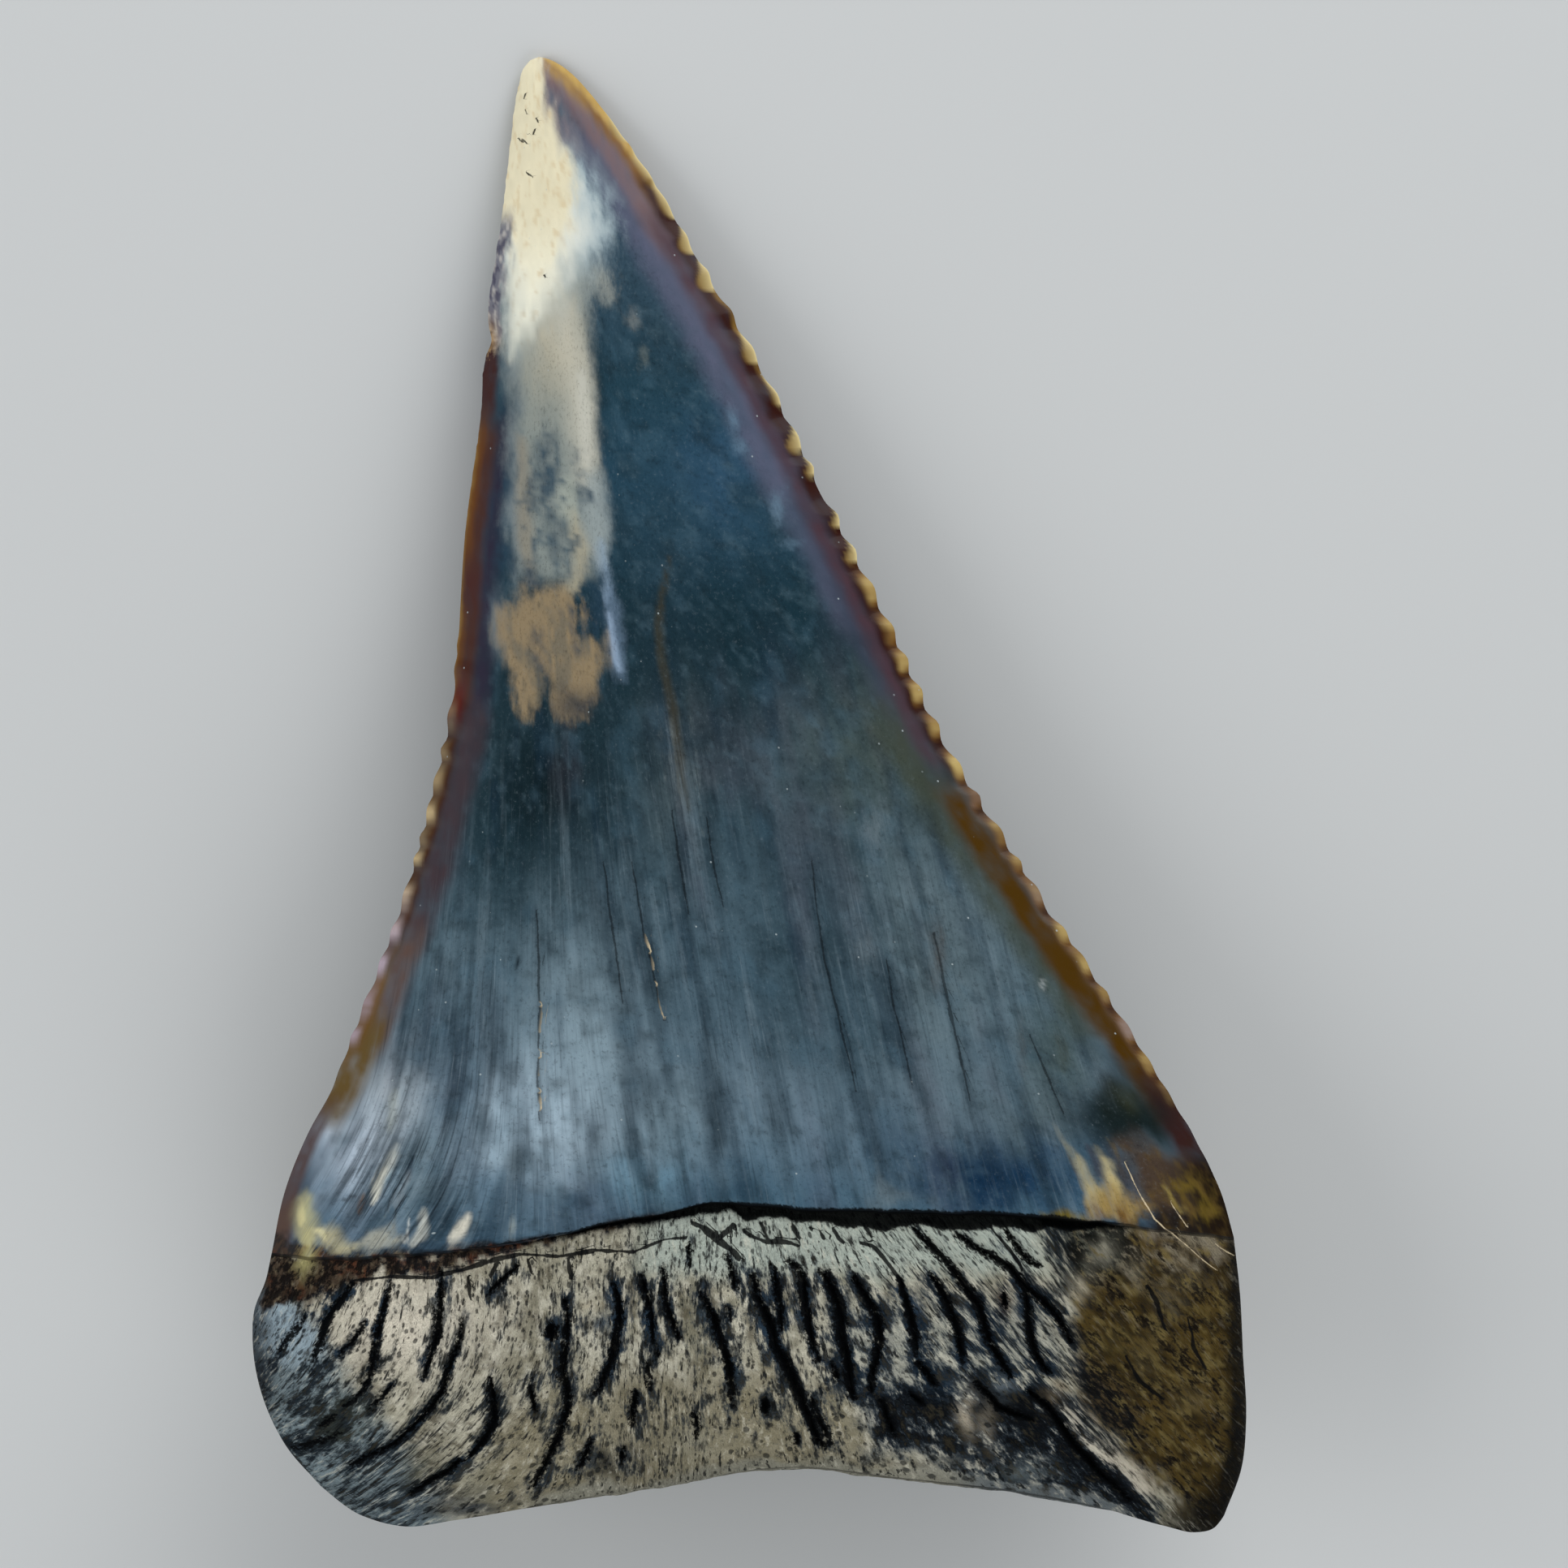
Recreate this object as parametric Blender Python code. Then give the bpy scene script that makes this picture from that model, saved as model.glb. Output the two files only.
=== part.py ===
"""Fossil great white shark tooth, grown as one piece.

The tooth lies on its inner (lingual) side with its flat outer (labial) face up. +X is to the
right of that face, +Y runs to the tip, +Z is up, and z = 0 is the surface that it rests on.

It is shaped first in the frame of the labial face, in millimetres: x across, y from the
root's lowest point towards the tip, and w out of the face. The form is a loft between unlike
sections, so its faces are built row by row. Along the tooth, v is 0 at the tip, 1 at the foot
of the crown and 2 at the base of the root. Across it, u is 0 at the left edge and 1 at the right.
"""
import math

import bmesh
import bpy
import numpy as np
from mathutils import Vector
from mathutils.bvhtree import BVHTree

MM = 0.001

# Outline of the labial face, in millimetres
TIP = (-6.8, 47.4)
LEFT_FOOT = (-15.3, 8.9)
RIGHT_FOOT = (15.5, 9.4)
LEFT_BASE = (-13.8, 1.5)
RIGHT_BASE = (15.2, 0.5)
LEFT_BLADE = (TIP, (-7.3, 47.05), (-7.65, 45.4), (-8.05, 41.9), (-8.5, 38.7), (-8.65, 36.0),
              (-9.15, 32.0), (-9.4, 28.2), (-9.6, 26.3), (-10.05, 24.1), (-11.2, 19.9), (-12.7, 15.9),
              (-13.4, 14.1), (-14.15, 12.7), (-14.9, 10.8), LEFT_FOOT)
RIGHT_BLADE = (TIP, (-6.35, 47.15), (-5.5, 46.5), (-3.95, 44.6), (-1.9, 41.2), (0.25, 37.5),
               (2.1, 33.6), (4.1, 29.3), (4.95, 27.4), (6.5, 24.8), (8.05, 22.3), (9.3, 20.3),
               (11.4, 17.2), (13.4, 14.0), (14.5, 12.1), (15.1, 10.8), RIGHT_FOOT)
LEFT_SIDE = (LEFT_FOOT, (-15.5, 8.0), (-15.85, 7.1), (-15.9, 5.8), (-15.6, 4.3), (-14.9, 2.8),
             LEFT_BASE)
RIGHT_SIDE = (RIGHT_FOOT, (15.7, 7.6), (15.8, 5.6), (15.9, 3.6), (15.75, 2.0), RIGHT_BASE)
BASE = (LEFT_BASE, (-12.4, 0.55), (-11.0, 0.2), (-9.4, 0.4), (-5.4, 1.1), (-1.8, 1.7), (0.5, 2.05),
        (1.9, 2.1), (4.4, 1.8), (8.0, 1.4), (11.0, 0.85), (13.3, 0.2), (14.2, 0.0), (14.8, 0.1),
        RIGHT_BASE)

# Lower edge of the enamel, which is nearly straight outside and a chevron inside
LABIAL_FOOT = (LEFT_FOOT, (-13.5, 8.8), (-11.0, 8.95), (-8.4, 9.25), (-6.3, 9.6), (-4.2, 10.05),
               (-2.6, 10.3), (-1.3, 10.65), (0.0, 10.55), (2.4, 10.4), (5.7, 10.3), (9.0, 10.2),
               (12.3, 9.85), RIGHT_FOOT)
LINGUAL_FOOT = (LEFT_FOOT, (-12.5, 10.2), (-8.0, 12.8), (-4.0, 15.2), (-0.6, 16.4), (2.8, 15.4),
                (7.5, 13.2), (12.5, 10.6), RIGHT_FOOT)

# Height of the face above the edges as (v, millimetres), and depth of the back below them as
# (y, millimetres)
LABIAL_RISE = ((0.0, 0.1), (0.03, 0.35), (0.1, 0.55), (0.3, 0.8), (0.6, 1.15), (1.0, 1.5),
               (1.3, 1.6), (1.7, 1.4), (2.0, 1.2))
LINGUAL_DEPTH = ((0.0, 4.4), (2.5, 5.4), (5.5, 7.1), (8.0, 7.4), (11.0, 6.4), (15.0, 5.2), (20.0, 4.25),
                 (27.0, 3.1), (36.0, 1.9), (43.0, 0.85), (46.0, 0.5), (47.4, 0.15))
TIP_LEAN = 1.5              # how far the tip leans inwards out of the plane of the face
FOOT_STEP = 0.2             # thickness of the enamel that stands over the root
GAP_DEPTH = 0.35            # depth of the dark gap along the enamel's lower edge
GAP_SPAN = (-4.0, 10.5)     # stretch across the face where that gap is open
BASE_CLOSING = 0.97         # how nearly the rounded sides meet at the base: 1 leaves no flat strip

# Serrated cutting edges: (distance from the tip, pitch or depth), in millimetres
SERRATION_PITCH = ((0.0, 0.65), (9.0, 0.8), (13.0, 1.4), (44.0, 1.25))
RIGHT_NOTCHES = ((0.0, 0.0), (2.0, 0.06), (10.0, 0.14), (18.0, 0.24), (37.0, 0.22), (42.0, 0.05),
                 (44.0, 0.0))
LEFT_NOTCHES = ((0.0, 0.0), (19.0, 0.03), (22.0, 0.2), (33.0, 0.2), (38.0, 0.04), (40.0, 0.0))
FINE_END = 11.0             # distance from the tip where the serrations turn coarse
CHIP_DISTANCE = 9.6         # a small chip in the left edge, from the tip
CHIP_LENGTH = 1.0
CHIP_DEPTH = 0.22

# How it lies: tilted until the root's back and the tip both meet the surface
TILT = math.radians(7.7)
LIFT = 8.0                  # millimetres from the surface up to the frame's origin
SHIFT = (0.01, -23.33)      # millimetres that centre the outline on the origin

# Long pores that score the outer root: (width, points down the groove), in millimetres
ROOT_GROOVES = (
    (0.42, ((-12.6, 8.0), (-13.05, 7.4), (-13.5, 6.7), (-13.9, 5.6))),
    (0.36, ((-11.35, 8.05), (-11.6, 7.3), (-11.95, 5.8), (-12.3, 4.6), (-12.9, 4.1))),
    (0.40, ((-9.8, 8.1), (-9.85, 7.0), (-9.95, 6.3), (-10.35, 5.1))),
    (0.50, ((-9.1, 6.9), (-9.35, 5.8), (-9.75, 4.6), (-10.6, 3.55), (-11.4, 2.85), (-12.7, 2.2))),
    (0.45, ((-8.2, 5.0), (-8.1, 3.9), (-8.6, 2.8), (-9.5, 2.1), (-10.7, 1.4))),
    (0.50, ((-5.85, 7.6), (-5.85, 6.0), (-5.85, 4.4), (-6.1, 3.1), (-6.85, 1.6))),
    (0.48, ((-4.3, 8.0), (-4.15, 7.2), (-4.3, 6.0), (-4.9, 4.4))),
    (0.36, ((-3.4, 8.3), (-3.1, 6.7), (-3.2, 4.7))),
    (0.40, ((-2.75, 7.9), (-2.5, 7.0), (-2.2, 6.2))),
    (0.45, ((-1.4, 7.8), (-1.0, 6.4), (-0.65, 5.4), (-0.55, 4.1))),
    (0.52, ((0.1, 8.3), (0.5, 7.2), (0.9, 6.0), (1.5, 4.7), (2.3, 2.9))),
    (0.42, ((1.3, 8.75), (1.75, 8.0), (1.9, 6.6), (2.2, 5.5))),
    (0.52, ((2.35, 8.4), (2.85, 7.3), (2.95, 6.0), (3.3, 4.4))),
    (0.46, ((3.3, 8.3), (3.9, 7.3), (4.15, 6.2), (3.9, 4.9))),
    (0.42, ((4.3, 8.8), (4.95, 7.6), (5.3, 5.9), (5.9, 4.8))),
    (0.46, ((5.75, 8.3), (6.3, 7.4), (6.7, 6.0), (7.0, 5.2))),
    (0.46, ((5.6, 9.3), (6.5, 8.4), (7.35, 7.1), (8.1, 5.4), (9.4, 4.2))),
    (0.42, ((7.2, 9.15), (8.4, 8.45), (9.4, 7.4), (10.2, 6.2))),
    (0.40, ((8.75, 7.4), (8.9, 6.5), (9.5, 5.3))),
    (0.50, ((10.0, 3.4), (10.7, 2.5), (11.6, 1.6))),
)
GROOVE_DEPTH = 0.35
GROOVE_REACH = 0.2          # how far a groove's cutter stands out of the surface
GROOVE_END = 0.4            # share of its width that a groove keeps at its two ends

FORAMEN_PLACE = (0.6, 4.3)  # nutrient hole in the back of the root, x and y
FORAMEN_RADIUS = 0.45
FORAMEN_DEPTH = 1.2

SHARP_ANGLE = math.radians(50.0)

# Fineness of the loft
COLUMNS = 16                # faces across each side of the tooth
FINE_STEPS = 2              # rows to each fine serration near the tip
COARSE_STEPS = 4            # rows to each coarse serration
ROOT_ROWS = (1.015, 1.045, 1.09, 1.15, 1.22, 1.3, 1.38, 1.46, 1.54, 1.62, 1.7, 1.77, 1.84, 1.9,
             1.95, 1.985, 2.0)


def hermite(knots, values, at):
    """Smooth cubic interpolation of values given at knots, with no overshoot past the ends."""
    knots = np.asarray(knots, float)
    values = np.asarray(values, float).reshape(len(knots), -1)
    slope = np.gradient(values, knots, axis=0)
    at = np.clip(np.asarray(at, float), knots[0], knots[-1])
    k = np.clip(np.searchsorted(knots, at, side="right") - 1, 0, len(knots) - 2)
    span = (knots[k + 1] - knots[k])[:, None]
    t = (at - knots[k])[:, None] / span
    start = (2 * t**3 - 3 * t**2 + 1) * values[k] + (t**3 - 2 * t**2 + t) * span * slope[k]
    end = (3 * t**2 - 2 * t**3) * values[k + 1] + (t**3 - t**2) * span * slope[k + 1]
    return start + end


def profile(pairs, at):
    """Value of a smooth profile given as (place, value) pairs."""
    places, values = zip(*pairs)
    at = np.asarray(at, float)
    return hermite(places, values, at.ravel())[:, 0].reshape(at.shape)


def ease(value, low, high):
    """0 below low, 1 above high, and a smooth step between them."""
    t = np.clip((np.asarray(value, float) - low) / (high - low), 0.0, 1.0)
    return t * t * (3.0 - 2.0 * t)


class Curve:
    """A smooth curve through points, read by the share of its length."""

    def __init__(self, points, samples=600):
        points = np.asarray(points, float)
        chord = np.r_[0.0, np.cumsum(np.linalg.norm(np.diff(points, axis=0), axis=1))]
        self.points = hermite(chord, points, np.linspace(0.0, chord[-1], samples))
        steps = np.linalg.norm(np.diff(self.points, axis=0), axis=1)
        self.distance = np.r_[0.0, np.cumsum(steps)]
        self.length = self.distance[-1]

    def at(self, share):
        """Points at the given shares of the length."""
        along = np.asarray(share) * self.length
        return np.stack([np.interp(along, self.distance, self.points[:, i]) for i in (0, 1)], axis=-1)

    def outward(self, share, side):
        """Unit normals that point out of the tooth: side is -1 on the left and 1 on the right."""
        ahead = self.at(np.clip(share + 0.01, 0.0, 1.0)) - self.at(np.clip(share - 0.01, 0.0, 1.0))
        normal = np.stack([-ahead[..., 1], ahead[..., 0]], axis=-1) * side
        return normal / np.linalg.norm(normal, axis=-1, keepdims=True)


left_blade, right_blade = Curve(LEFT_BLADE), Curve(RIGHT_BLADE)
left_side, right_side = Curve(LEFT_SIDE), Curve(RIGHT_SIDE)
base_line = Curve(BASE)


def serration_phase(distance):
    """Number of serrations between the tip and each distance from it."""
    fine = np.linspace(0.0, 50.0, 2001)
    pitch = np.interp(fine, *zip(*SERRATION_PITCH))
    count = np.r_[0.0, np.cumsum(np.diff(fine) / pitch[:-1])]
    return np.interp(distance, fine, count)


def serration(distance, notches):
    """Offset of a serrated edge: round knobs stand out and narrow notches go in."""
    depth = np.interp(distance, *zip(*notches))
    notch = (0.5 - 0.5 * np.cos(2.0 * np.pi * serration_phase(distance))) ** 1.4
    return depth * (0.5 - notch)


def chip(distance):
    """Depth of the small chip in the left edge."""
    return CHIP_DEPTH * np.exp(-(((distance - CHIP_DISTANCE) / (0.5 * CHIP_LENGTH)) ** 2))


def blade_points(v):
    """Left and right cutting edges, serrated, at shares v of the crown's length."""
    left = left_blade.at(v)
    right = right_blade.at(v)
    left_offset = serration(v * left_blade.length, LEFT_NOTCHES) - chip(v * left_blade.length)
    right_offset = serration(v * right_blade.length, RIGHT_NOTCHES)
    left_cut = left + left_offset[..., None] * left_blade.outward(v, -1)
    right_cut = right + right_offset[..., None] * right_blade.outward(v, 1)
    return left, right, left_cut, right_cut


def crown_plan(u, v, foot):
    """x and y of the crown's points: rows run straight at the tip and follow the foot below."""
    left, right, left_cut, right_cut = blade_points(v)
    points = (1 - u) * left + u * right
    foot_x = (1 - u[..., 0]) * LEFT_FOOT[0] + u[..., 0] * RIGHT_FOOT[0]
    chord = (1 - u[..., 0]) * LEFT_FOOT[1] + u[..., 0] * RIGHT_FOOT[1]
    points[..., 1] += ease(v, 0.5, 1.0) * (profile(foot, foot_x) - chord)
    points = np.where(u == 0.0, left_cut, points)
    return np.where(u == 1.0, right_cut, points)


def root_plan(u, t, foot):
    """x and y of the root's points, a patch between the crown's foot, the sides and the base."""
    foot_x = (1 - u[..., 0]) * LEFT_FOOT[0] + u[..., 0] * RIGHT_FOOT[0]
    top = np.stack([foot_x, profile(foot, foot_x)], axis=-1)
    bottom = base_line.at(u[..., 0])
    left, right = left_side.at(t[..., 0]), right_side.at(t[..., 0])
    corners = ((1 - u) * (1 - t) * np.array(LEFT_FOOT) + u * (1 - t) * np.array(RIGHT_FOOT)
               + (1 - u) * t * np.array(LEFT_BASE) + u * t * np.array(RIGHT_BASE))
    return (1 - t) * top + t * bottom + (1 - u) * left + u * right - corners


def section(u, v, flatness, roundness):
    """Share of a side's full height: whole in the middle, nothing at the edges, less at the base."""
    across = np.abs(2.0 * u - 1.0)
    rooted = ease(v, 0.92, 1.15)
    power = flatness[0] + (flatness[1] - flatness[0]) * rooted
    bend = 1.0 + (roundness - 1.0) * rooted
    side = (1.0 - across**power) ** bend
    closing = (1.0 - (BASE_CLOSING * np.clip(v - 1.0, 0.0, 1.0)) ** 8) ** 0.4
    return side * closing


def foot_relief(x, u, v, gap_share):
    """Step from the enamel down to the root, and the open gap along the enamel's edge."""
    inside = np.clip(6.0 * np.minimum(u, 1.0 - u), 0.0, 1.0)
    step = FOOT_STEP * ease(v, 1.0, 1.015)
    gap = (GAP_DEPTH - FOOT_STEP) * ease(v, 1.0, 1.015) * (1.0 - ease(v, 1.015, 1.05))
    open_here = ease(x, GAP_SPAN[0] - 2.0, GAP_SPAN[0])
    open_here = open_here * (1.0 - ease(x, GAP_SPAN[1], GAP_SPAN[1] + 2.0))
    return inside * (step + gap_share * gap * open_here)


def surface(u, v, labial):
    """Points of one side of the tooth in the face's frame, in millimetres."""
    foot = LABIAL_FOOT if labial else LINGUAL_FOOT
    share_u, share_v = u[..., None], v[..., None]
    plan = np.where(share_v <= 1.0, crown_plan(share_u, np.clip(v, 0.0, 1.0), foot),
                    root_plan(share_u, np.clip(share_v - 1.0, 0.0, 1.0), foot))
    if labial:
        height = profile(LABIAL_RISE, v) * section(u, v, (2.6, 7.0), 0.5)
        height = height - foot_relief(plan[..., 0], u, v, 1.0)
    else:
        height = -profile(LINGUAL_DEPTH, plan[..., 1]) * section(u, v, (1.9, 2.6), 0.55)
        height = height + foot_relief(plan[..., 0], u, v, 0.0)
    lean = -TIP_LEAN * np.clip(1.0 - v, 0.0, 1.0) ** 1.6
    return np.concatenate([plan, (height + lean)[..., None]], axis=-1)


def lay_down(points):
    """From the face's frame in millimetres to the lying tooth in metres."""
    x, y, w = points[..., 0], points[..., 1], points[..., 2]
    down_y = y * math.cos(TILT) + w * math.sin(TILT)
    up_z = w * math.cos(TILT) - y * math.sin(TILT)
    return np.stack([x + SHIFT[0], down_y + SHIFT[1], up_z + LIFT], axis=-1) * MM


def row_places():
    """Places of the rows along v: in step with the serrations on the crown, listed on the root."""
    last = serration_phase(right_blade.length)
    change = serration_phase(FINE_END)
    phase = np.r_[np.arange(1.0 / FINE_STEPS, change, 1.0 / FINE_STEPS),
                  np.arange(math.ceil(change), last - 0.15, 1.0 / COARSE_STEPS)]
    fine = np.linspace(0.0, right_blade.length, 4001)
    crown = np.interp(phase, serration_phase(fine), fine) / right_blade.length
    return np.r_[crown, 1.0, ROOT_ROWS]


def build_loft():
    """The whole tooth as one closed mesh: rings down its length, a point at the tip, a flat base."""
    v = row_places()
    u = 0.5 - 0.5 * np.cos(np.linspace(0.0, np.pi, COLUMNS + 1))
    grid_u, grid_v = np.meshgrid(u, v)
    outer = lay_down(surface(grid_u, grid_v, True))
    inner = lay_down(surface(grid_u, grid_v, False))
    rings = np.concatenate([outer, inner[:, -2:0:-1]], axis=1)
    rows, around = rings.shape[:2]
    tip = lay_down(np.array([[TIP[0], TIP[1], -TIP_LEAN]]))
    points = np.concatenate([rings.reshape(-1, 3), tip])
    faces = []
    for row in range(rows - 1):
        for k in range(around):
            ahead = (k + 1) % around
            a, b = row * around + k, row * around + ahead
            faces.append((a, a + around, b + around, b))
    apex = rows * around
    faces += [(apex, k, (k + 1) % around) for k in range(around)]
    low = (rows - 1) * around
    for k in range(COLUMNS):
        back = (low + (around - k) % around, low + (around - k - 1) % around)
        faces.append((low + k, back[0], back[1], low + k + 1))
    return points, faces


def new_object(name, points, faces, collection):
    """A mesh object with its faces turned outwards."""
    mesh = bpy.data.meshes.new(name)
    mesh.from_pydata([tuple(p) for p in points], [], [tuple(dict.fromkeys(f)) for f in faces])
    shape = bmesh.new()
    shape.from_mesh(mesh)
    bmesh.ops.recalc_face_normals(shape, faces=shape.faces)
    shape.to_mesh(mesh)
    shape.free()
    thing = bpy.data.objects.new(name, mesh)
    collection.objects.link(thing)
    return thing


def groove_mesh(tree, width, points):
    """A wedge that follows a groove over the surface, deepest along its middle."""
    line = Curve(points)
    share = np.linspace(0.0, 1.0, len(points) + 1)
    middle = line.at(share)
    sideways = line.outward(share, 1)
    corners = []
    for k, (here, across) in enumerate(zip(middle, sideways)):
        size = GROOVE_END if k in (0, len(share) - 1) else 1.0
        above = Vector(lay_down(np.array([here[0], here[1], 20.0])))
        below = Vector(lay_down(np.array([here[0], here[1], -20.0])))
        hit = tree.ray_cast(above, (below - above).normalized())[0]
        height = (Vector(lay_down(np.array([here[0], here[1], 0.0]))) - hit).length / MM
        for offset, level in ((-1.0, GROOVE_REACH), (1.0, GROOVE_REACH), (0.0, -GROOVE_DEPTH * size)):
            place = here + across * offset * 0.5 * width * size
            corners.append((place[0], place[1], height + level))
    faces = [(0, 1, 2), (len(corners) - 3, len(corners) - 1, len(corners) - 2)]
    for k in range(0, len(corners) - 3, 3):
        for i in range(3):
            j = (i + 1) % 3
            faces.append((k + i, k + j, k + 3 + j, k + 3 + i))
    return lay_down(np.array(corners)), faces


def add_cutter(body, name, points, faces, collection):
    """Cut a shape out of the body with a Boolean modifier."""
    cutter = new_object(name, points, faces, collection)
    cutter.hide_render = True
    cutter.display_type = "WIRE"
    cut = body.modifiers.new(name, "BOOLEAN")
    cut.operation = "DIFFERENCE"
    cut.solver = "EXACT"
    cut.object = cutter


def cut_grooves(body, collection):
    """Score the outer root with its long pores."""
    tree = BVHTree.FromObject(body, bpy.context.evaluated_depsgraph_get())
    points, faces = [], []
    for width, line in ROOT_GROOVES:
        corners, sides = groove_mesh(tree, width, line)
        faces += [tuple(len(points) + i for i in side) for side in sides]
        points += [tuple(corner) for corner in corners]
    add_cutter(body, "groove_cutter", points, faces, collection)


def cut_foramen(body, collection):
    """Bore the small nutrient hole into the back of the root."""
    tree = BVHTree.FromObject(body, bpy.context.evaluated_depsgraph_get())
    x, y = FORAMEN_PLACE
    below = Vector(lay_down(np.array([x, y, -20.0])))
    above = Vector(lay_down(np.array([x, y, 20.0])))
    inward = (above - below).normalized()
    mouth = tree.ray_cast(below, inward)[0]
    drill = bmesh.new()
    bmesh.ops.create_cone(drill, cap_ends=True, segments=10, radius1=FORAMEN_RADIUS * MM,
                          radius2=FORAMEN_RADIUS * MM, depth=2.0 * FORAMEN_DEPTH * MM)
    turn = Vector((0.0, 0.0, 1.0)).rotation_difference(inward)
    points = [mouth + turn @ corner.co for corner in drill.verts]
    faces = [[corner.index for corner in face.verts] for face in drill.faces]
    drill.free()
    add_cutter(body, "foramen_cutter", points, faces, collection)


def cut_rest(body, collection):
    """Wear the back flat where the tooth touches the surface at z = 0."""
    block = bmesh.new()
    bmesh.ops.create_cube(block, size=1.0)
    size = Vector((40.0, 60.0, 4.0)) * MM
    points = [Vector((c.co.x * size.x, c.co.y * size.y, (c.co.z - 0.5) * size.z)) for c in block.verts]
    faces = [[corner.index for corner in face.verts] for face in block.faces]
    block.free()
    add_cutter(body, "rest_cutter", points, faces, collection)


def tooth_material():
    """Polished blue-grey fossil enamel, the tooth's main colour."""
    material = bpy.data.materials.new("fossil_tooth")
    material.use_nodes = True
    shader = material.node_tree.nodes["Principled BSDF"]
    shader.inputs["Base Color"].default_value = (0.09, 0.13, 0.17, 1.0)
    shader.inputs["Roughness"].default_value = 0.35
    shader.inputs["Metallic"].default_value = 0.0
    return material


def clear_scene():
    for thing in list(bpy.data.objects):
        bpy.data.objects.remove(thing, do_unlink=True)


def new_collection(name):
    collection = bpy.data.collections.new(name)
    bpy.context.scene.collection.children.link(collection)
    return collection


def main():
    clear_scene()
    parts = new_collection("fossil_shark_tooth")
    cutters = new_collection("cutters")
    points, faces = build_loft()
    tooth = new_object("tooth", points, faces, parts)
    tooth.data.materials.append(tooth_material())
    tooth.data.shade_smooth()
    tooth.data.set_sharp_from_angle(angle=SHARP_ANGLE)
    bpy.context.view_layer.update()
    cut_grooves(tooth, cutters)
    cut_foramen(tooth, cutters)
    cut_rest(tooth, cutters)


main()
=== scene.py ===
"""The looks of the fossil great white shark tooth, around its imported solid.

One fine mesh replaces the solid. It is shaped in the frame of the tooth's flat outer (labial)
face, in millimetres: x across, y from the root's lowest point towards the tip, w out of the face.
Along the tooth, v is 0 at the tip, 1 at the foot of the crown and 2 at the base of the root.
Across it, u is 0 at the left edge and 1 at the right.
"""
import math

import bpy
import numpy as np
from mathutils import Matrix, Vector


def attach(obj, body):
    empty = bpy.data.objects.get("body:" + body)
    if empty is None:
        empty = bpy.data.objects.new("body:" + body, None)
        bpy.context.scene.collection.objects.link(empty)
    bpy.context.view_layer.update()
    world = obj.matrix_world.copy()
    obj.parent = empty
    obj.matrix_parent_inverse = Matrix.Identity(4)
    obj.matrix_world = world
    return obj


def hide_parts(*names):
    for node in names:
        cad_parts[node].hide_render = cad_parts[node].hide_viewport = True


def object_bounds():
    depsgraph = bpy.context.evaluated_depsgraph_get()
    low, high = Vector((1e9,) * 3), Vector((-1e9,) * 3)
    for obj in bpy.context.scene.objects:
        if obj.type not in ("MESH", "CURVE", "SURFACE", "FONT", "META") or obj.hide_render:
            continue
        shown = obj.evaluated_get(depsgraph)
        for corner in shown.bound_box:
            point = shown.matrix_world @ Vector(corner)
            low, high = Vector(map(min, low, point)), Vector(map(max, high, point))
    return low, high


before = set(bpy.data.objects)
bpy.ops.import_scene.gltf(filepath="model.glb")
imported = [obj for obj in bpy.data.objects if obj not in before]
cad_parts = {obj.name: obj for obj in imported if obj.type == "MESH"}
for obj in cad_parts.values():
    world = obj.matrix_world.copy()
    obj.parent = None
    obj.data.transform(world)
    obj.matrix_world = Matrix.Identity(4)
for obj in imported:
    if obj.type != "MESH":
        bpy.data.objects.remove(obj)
cad_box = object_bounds()

MM = 0.001

# Outline of the labial face, in millimetres
TIP = (-6.8, 47.4)
LEFT_FOOT = (-15.3, 8.9)
RIGHT_FOOT = (15.5, 9.4)
LEFT_BASE = (-13.8, 1.5)
RIGHT_BASE = (15.2, 0.5)
LEFT_BLADE = (TIP, (-7.1, 47.28), (-7.35, 46.95), (-7.5, 46.4), (-7.65, 45.4), (-7.8, 43.9),
              (-8.05, 41.9), (-8.5, 38.7), (-8.65, 36.0),
              (-9.15, 32.0), (-9.4, 28.2), (-9.6, 26.3), (-10.05, 24.1), (-11.2, 19.9), (-12.7, 15.9),
              (-13.4, 14.1), (-14.15, 12.7), (-14.9, 10.8), LEFT_FOOT)
RIGHT_BLADE = (TIP, (-6.5, 47.33), (-6.1, 47.12), (-5.7, 46.8), (-5.2, 46.25), (-4.35, 45.15),
               (-3.4, 43.78), (-1.75, 41.0), (0.25, 37.5),
               (2.2, 33.6), (3.55, 30.9), (4.8, 28.3), (5.2, 27.4), (6.5, 24.8), (8.05, 22.3), (9.3, 20.3),
               (11.4, 17.2), (13.4, 14.0), (14.5, 12.1), (15.1, 10.8), RIGHT_FOOT)
LEFT_SIDE = (LEFT_FOOT, (-15.5, 8.0), (-15.85, 7.1), (-15.9, 5.8), (-15.6, 4.3), (-14.9, 2.8),
             LEFT_BASE)
RIGHT_SIDE = (RIGHT_FOOT, (15.7, 7.6), (15.8, 5.6), (15.9, 3.6), (15.75, 2.0), RIGHT_BASE)
BASE = (LEFT_BASE, (-12.4, 0.55), (-11.0, 0.2), (-9.4, 0.4), (-5.4, 1.1), (-1.8, 1.7), (0.5, 2.05),
        (1.9, 2.1), (4.4, 1.8), (8.0, 1.4), (11.0, 0.85), (13.3, 0.2), (14.2, 0.0), (14.8, 0.1),
        RIGHT_BASE)

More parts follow.
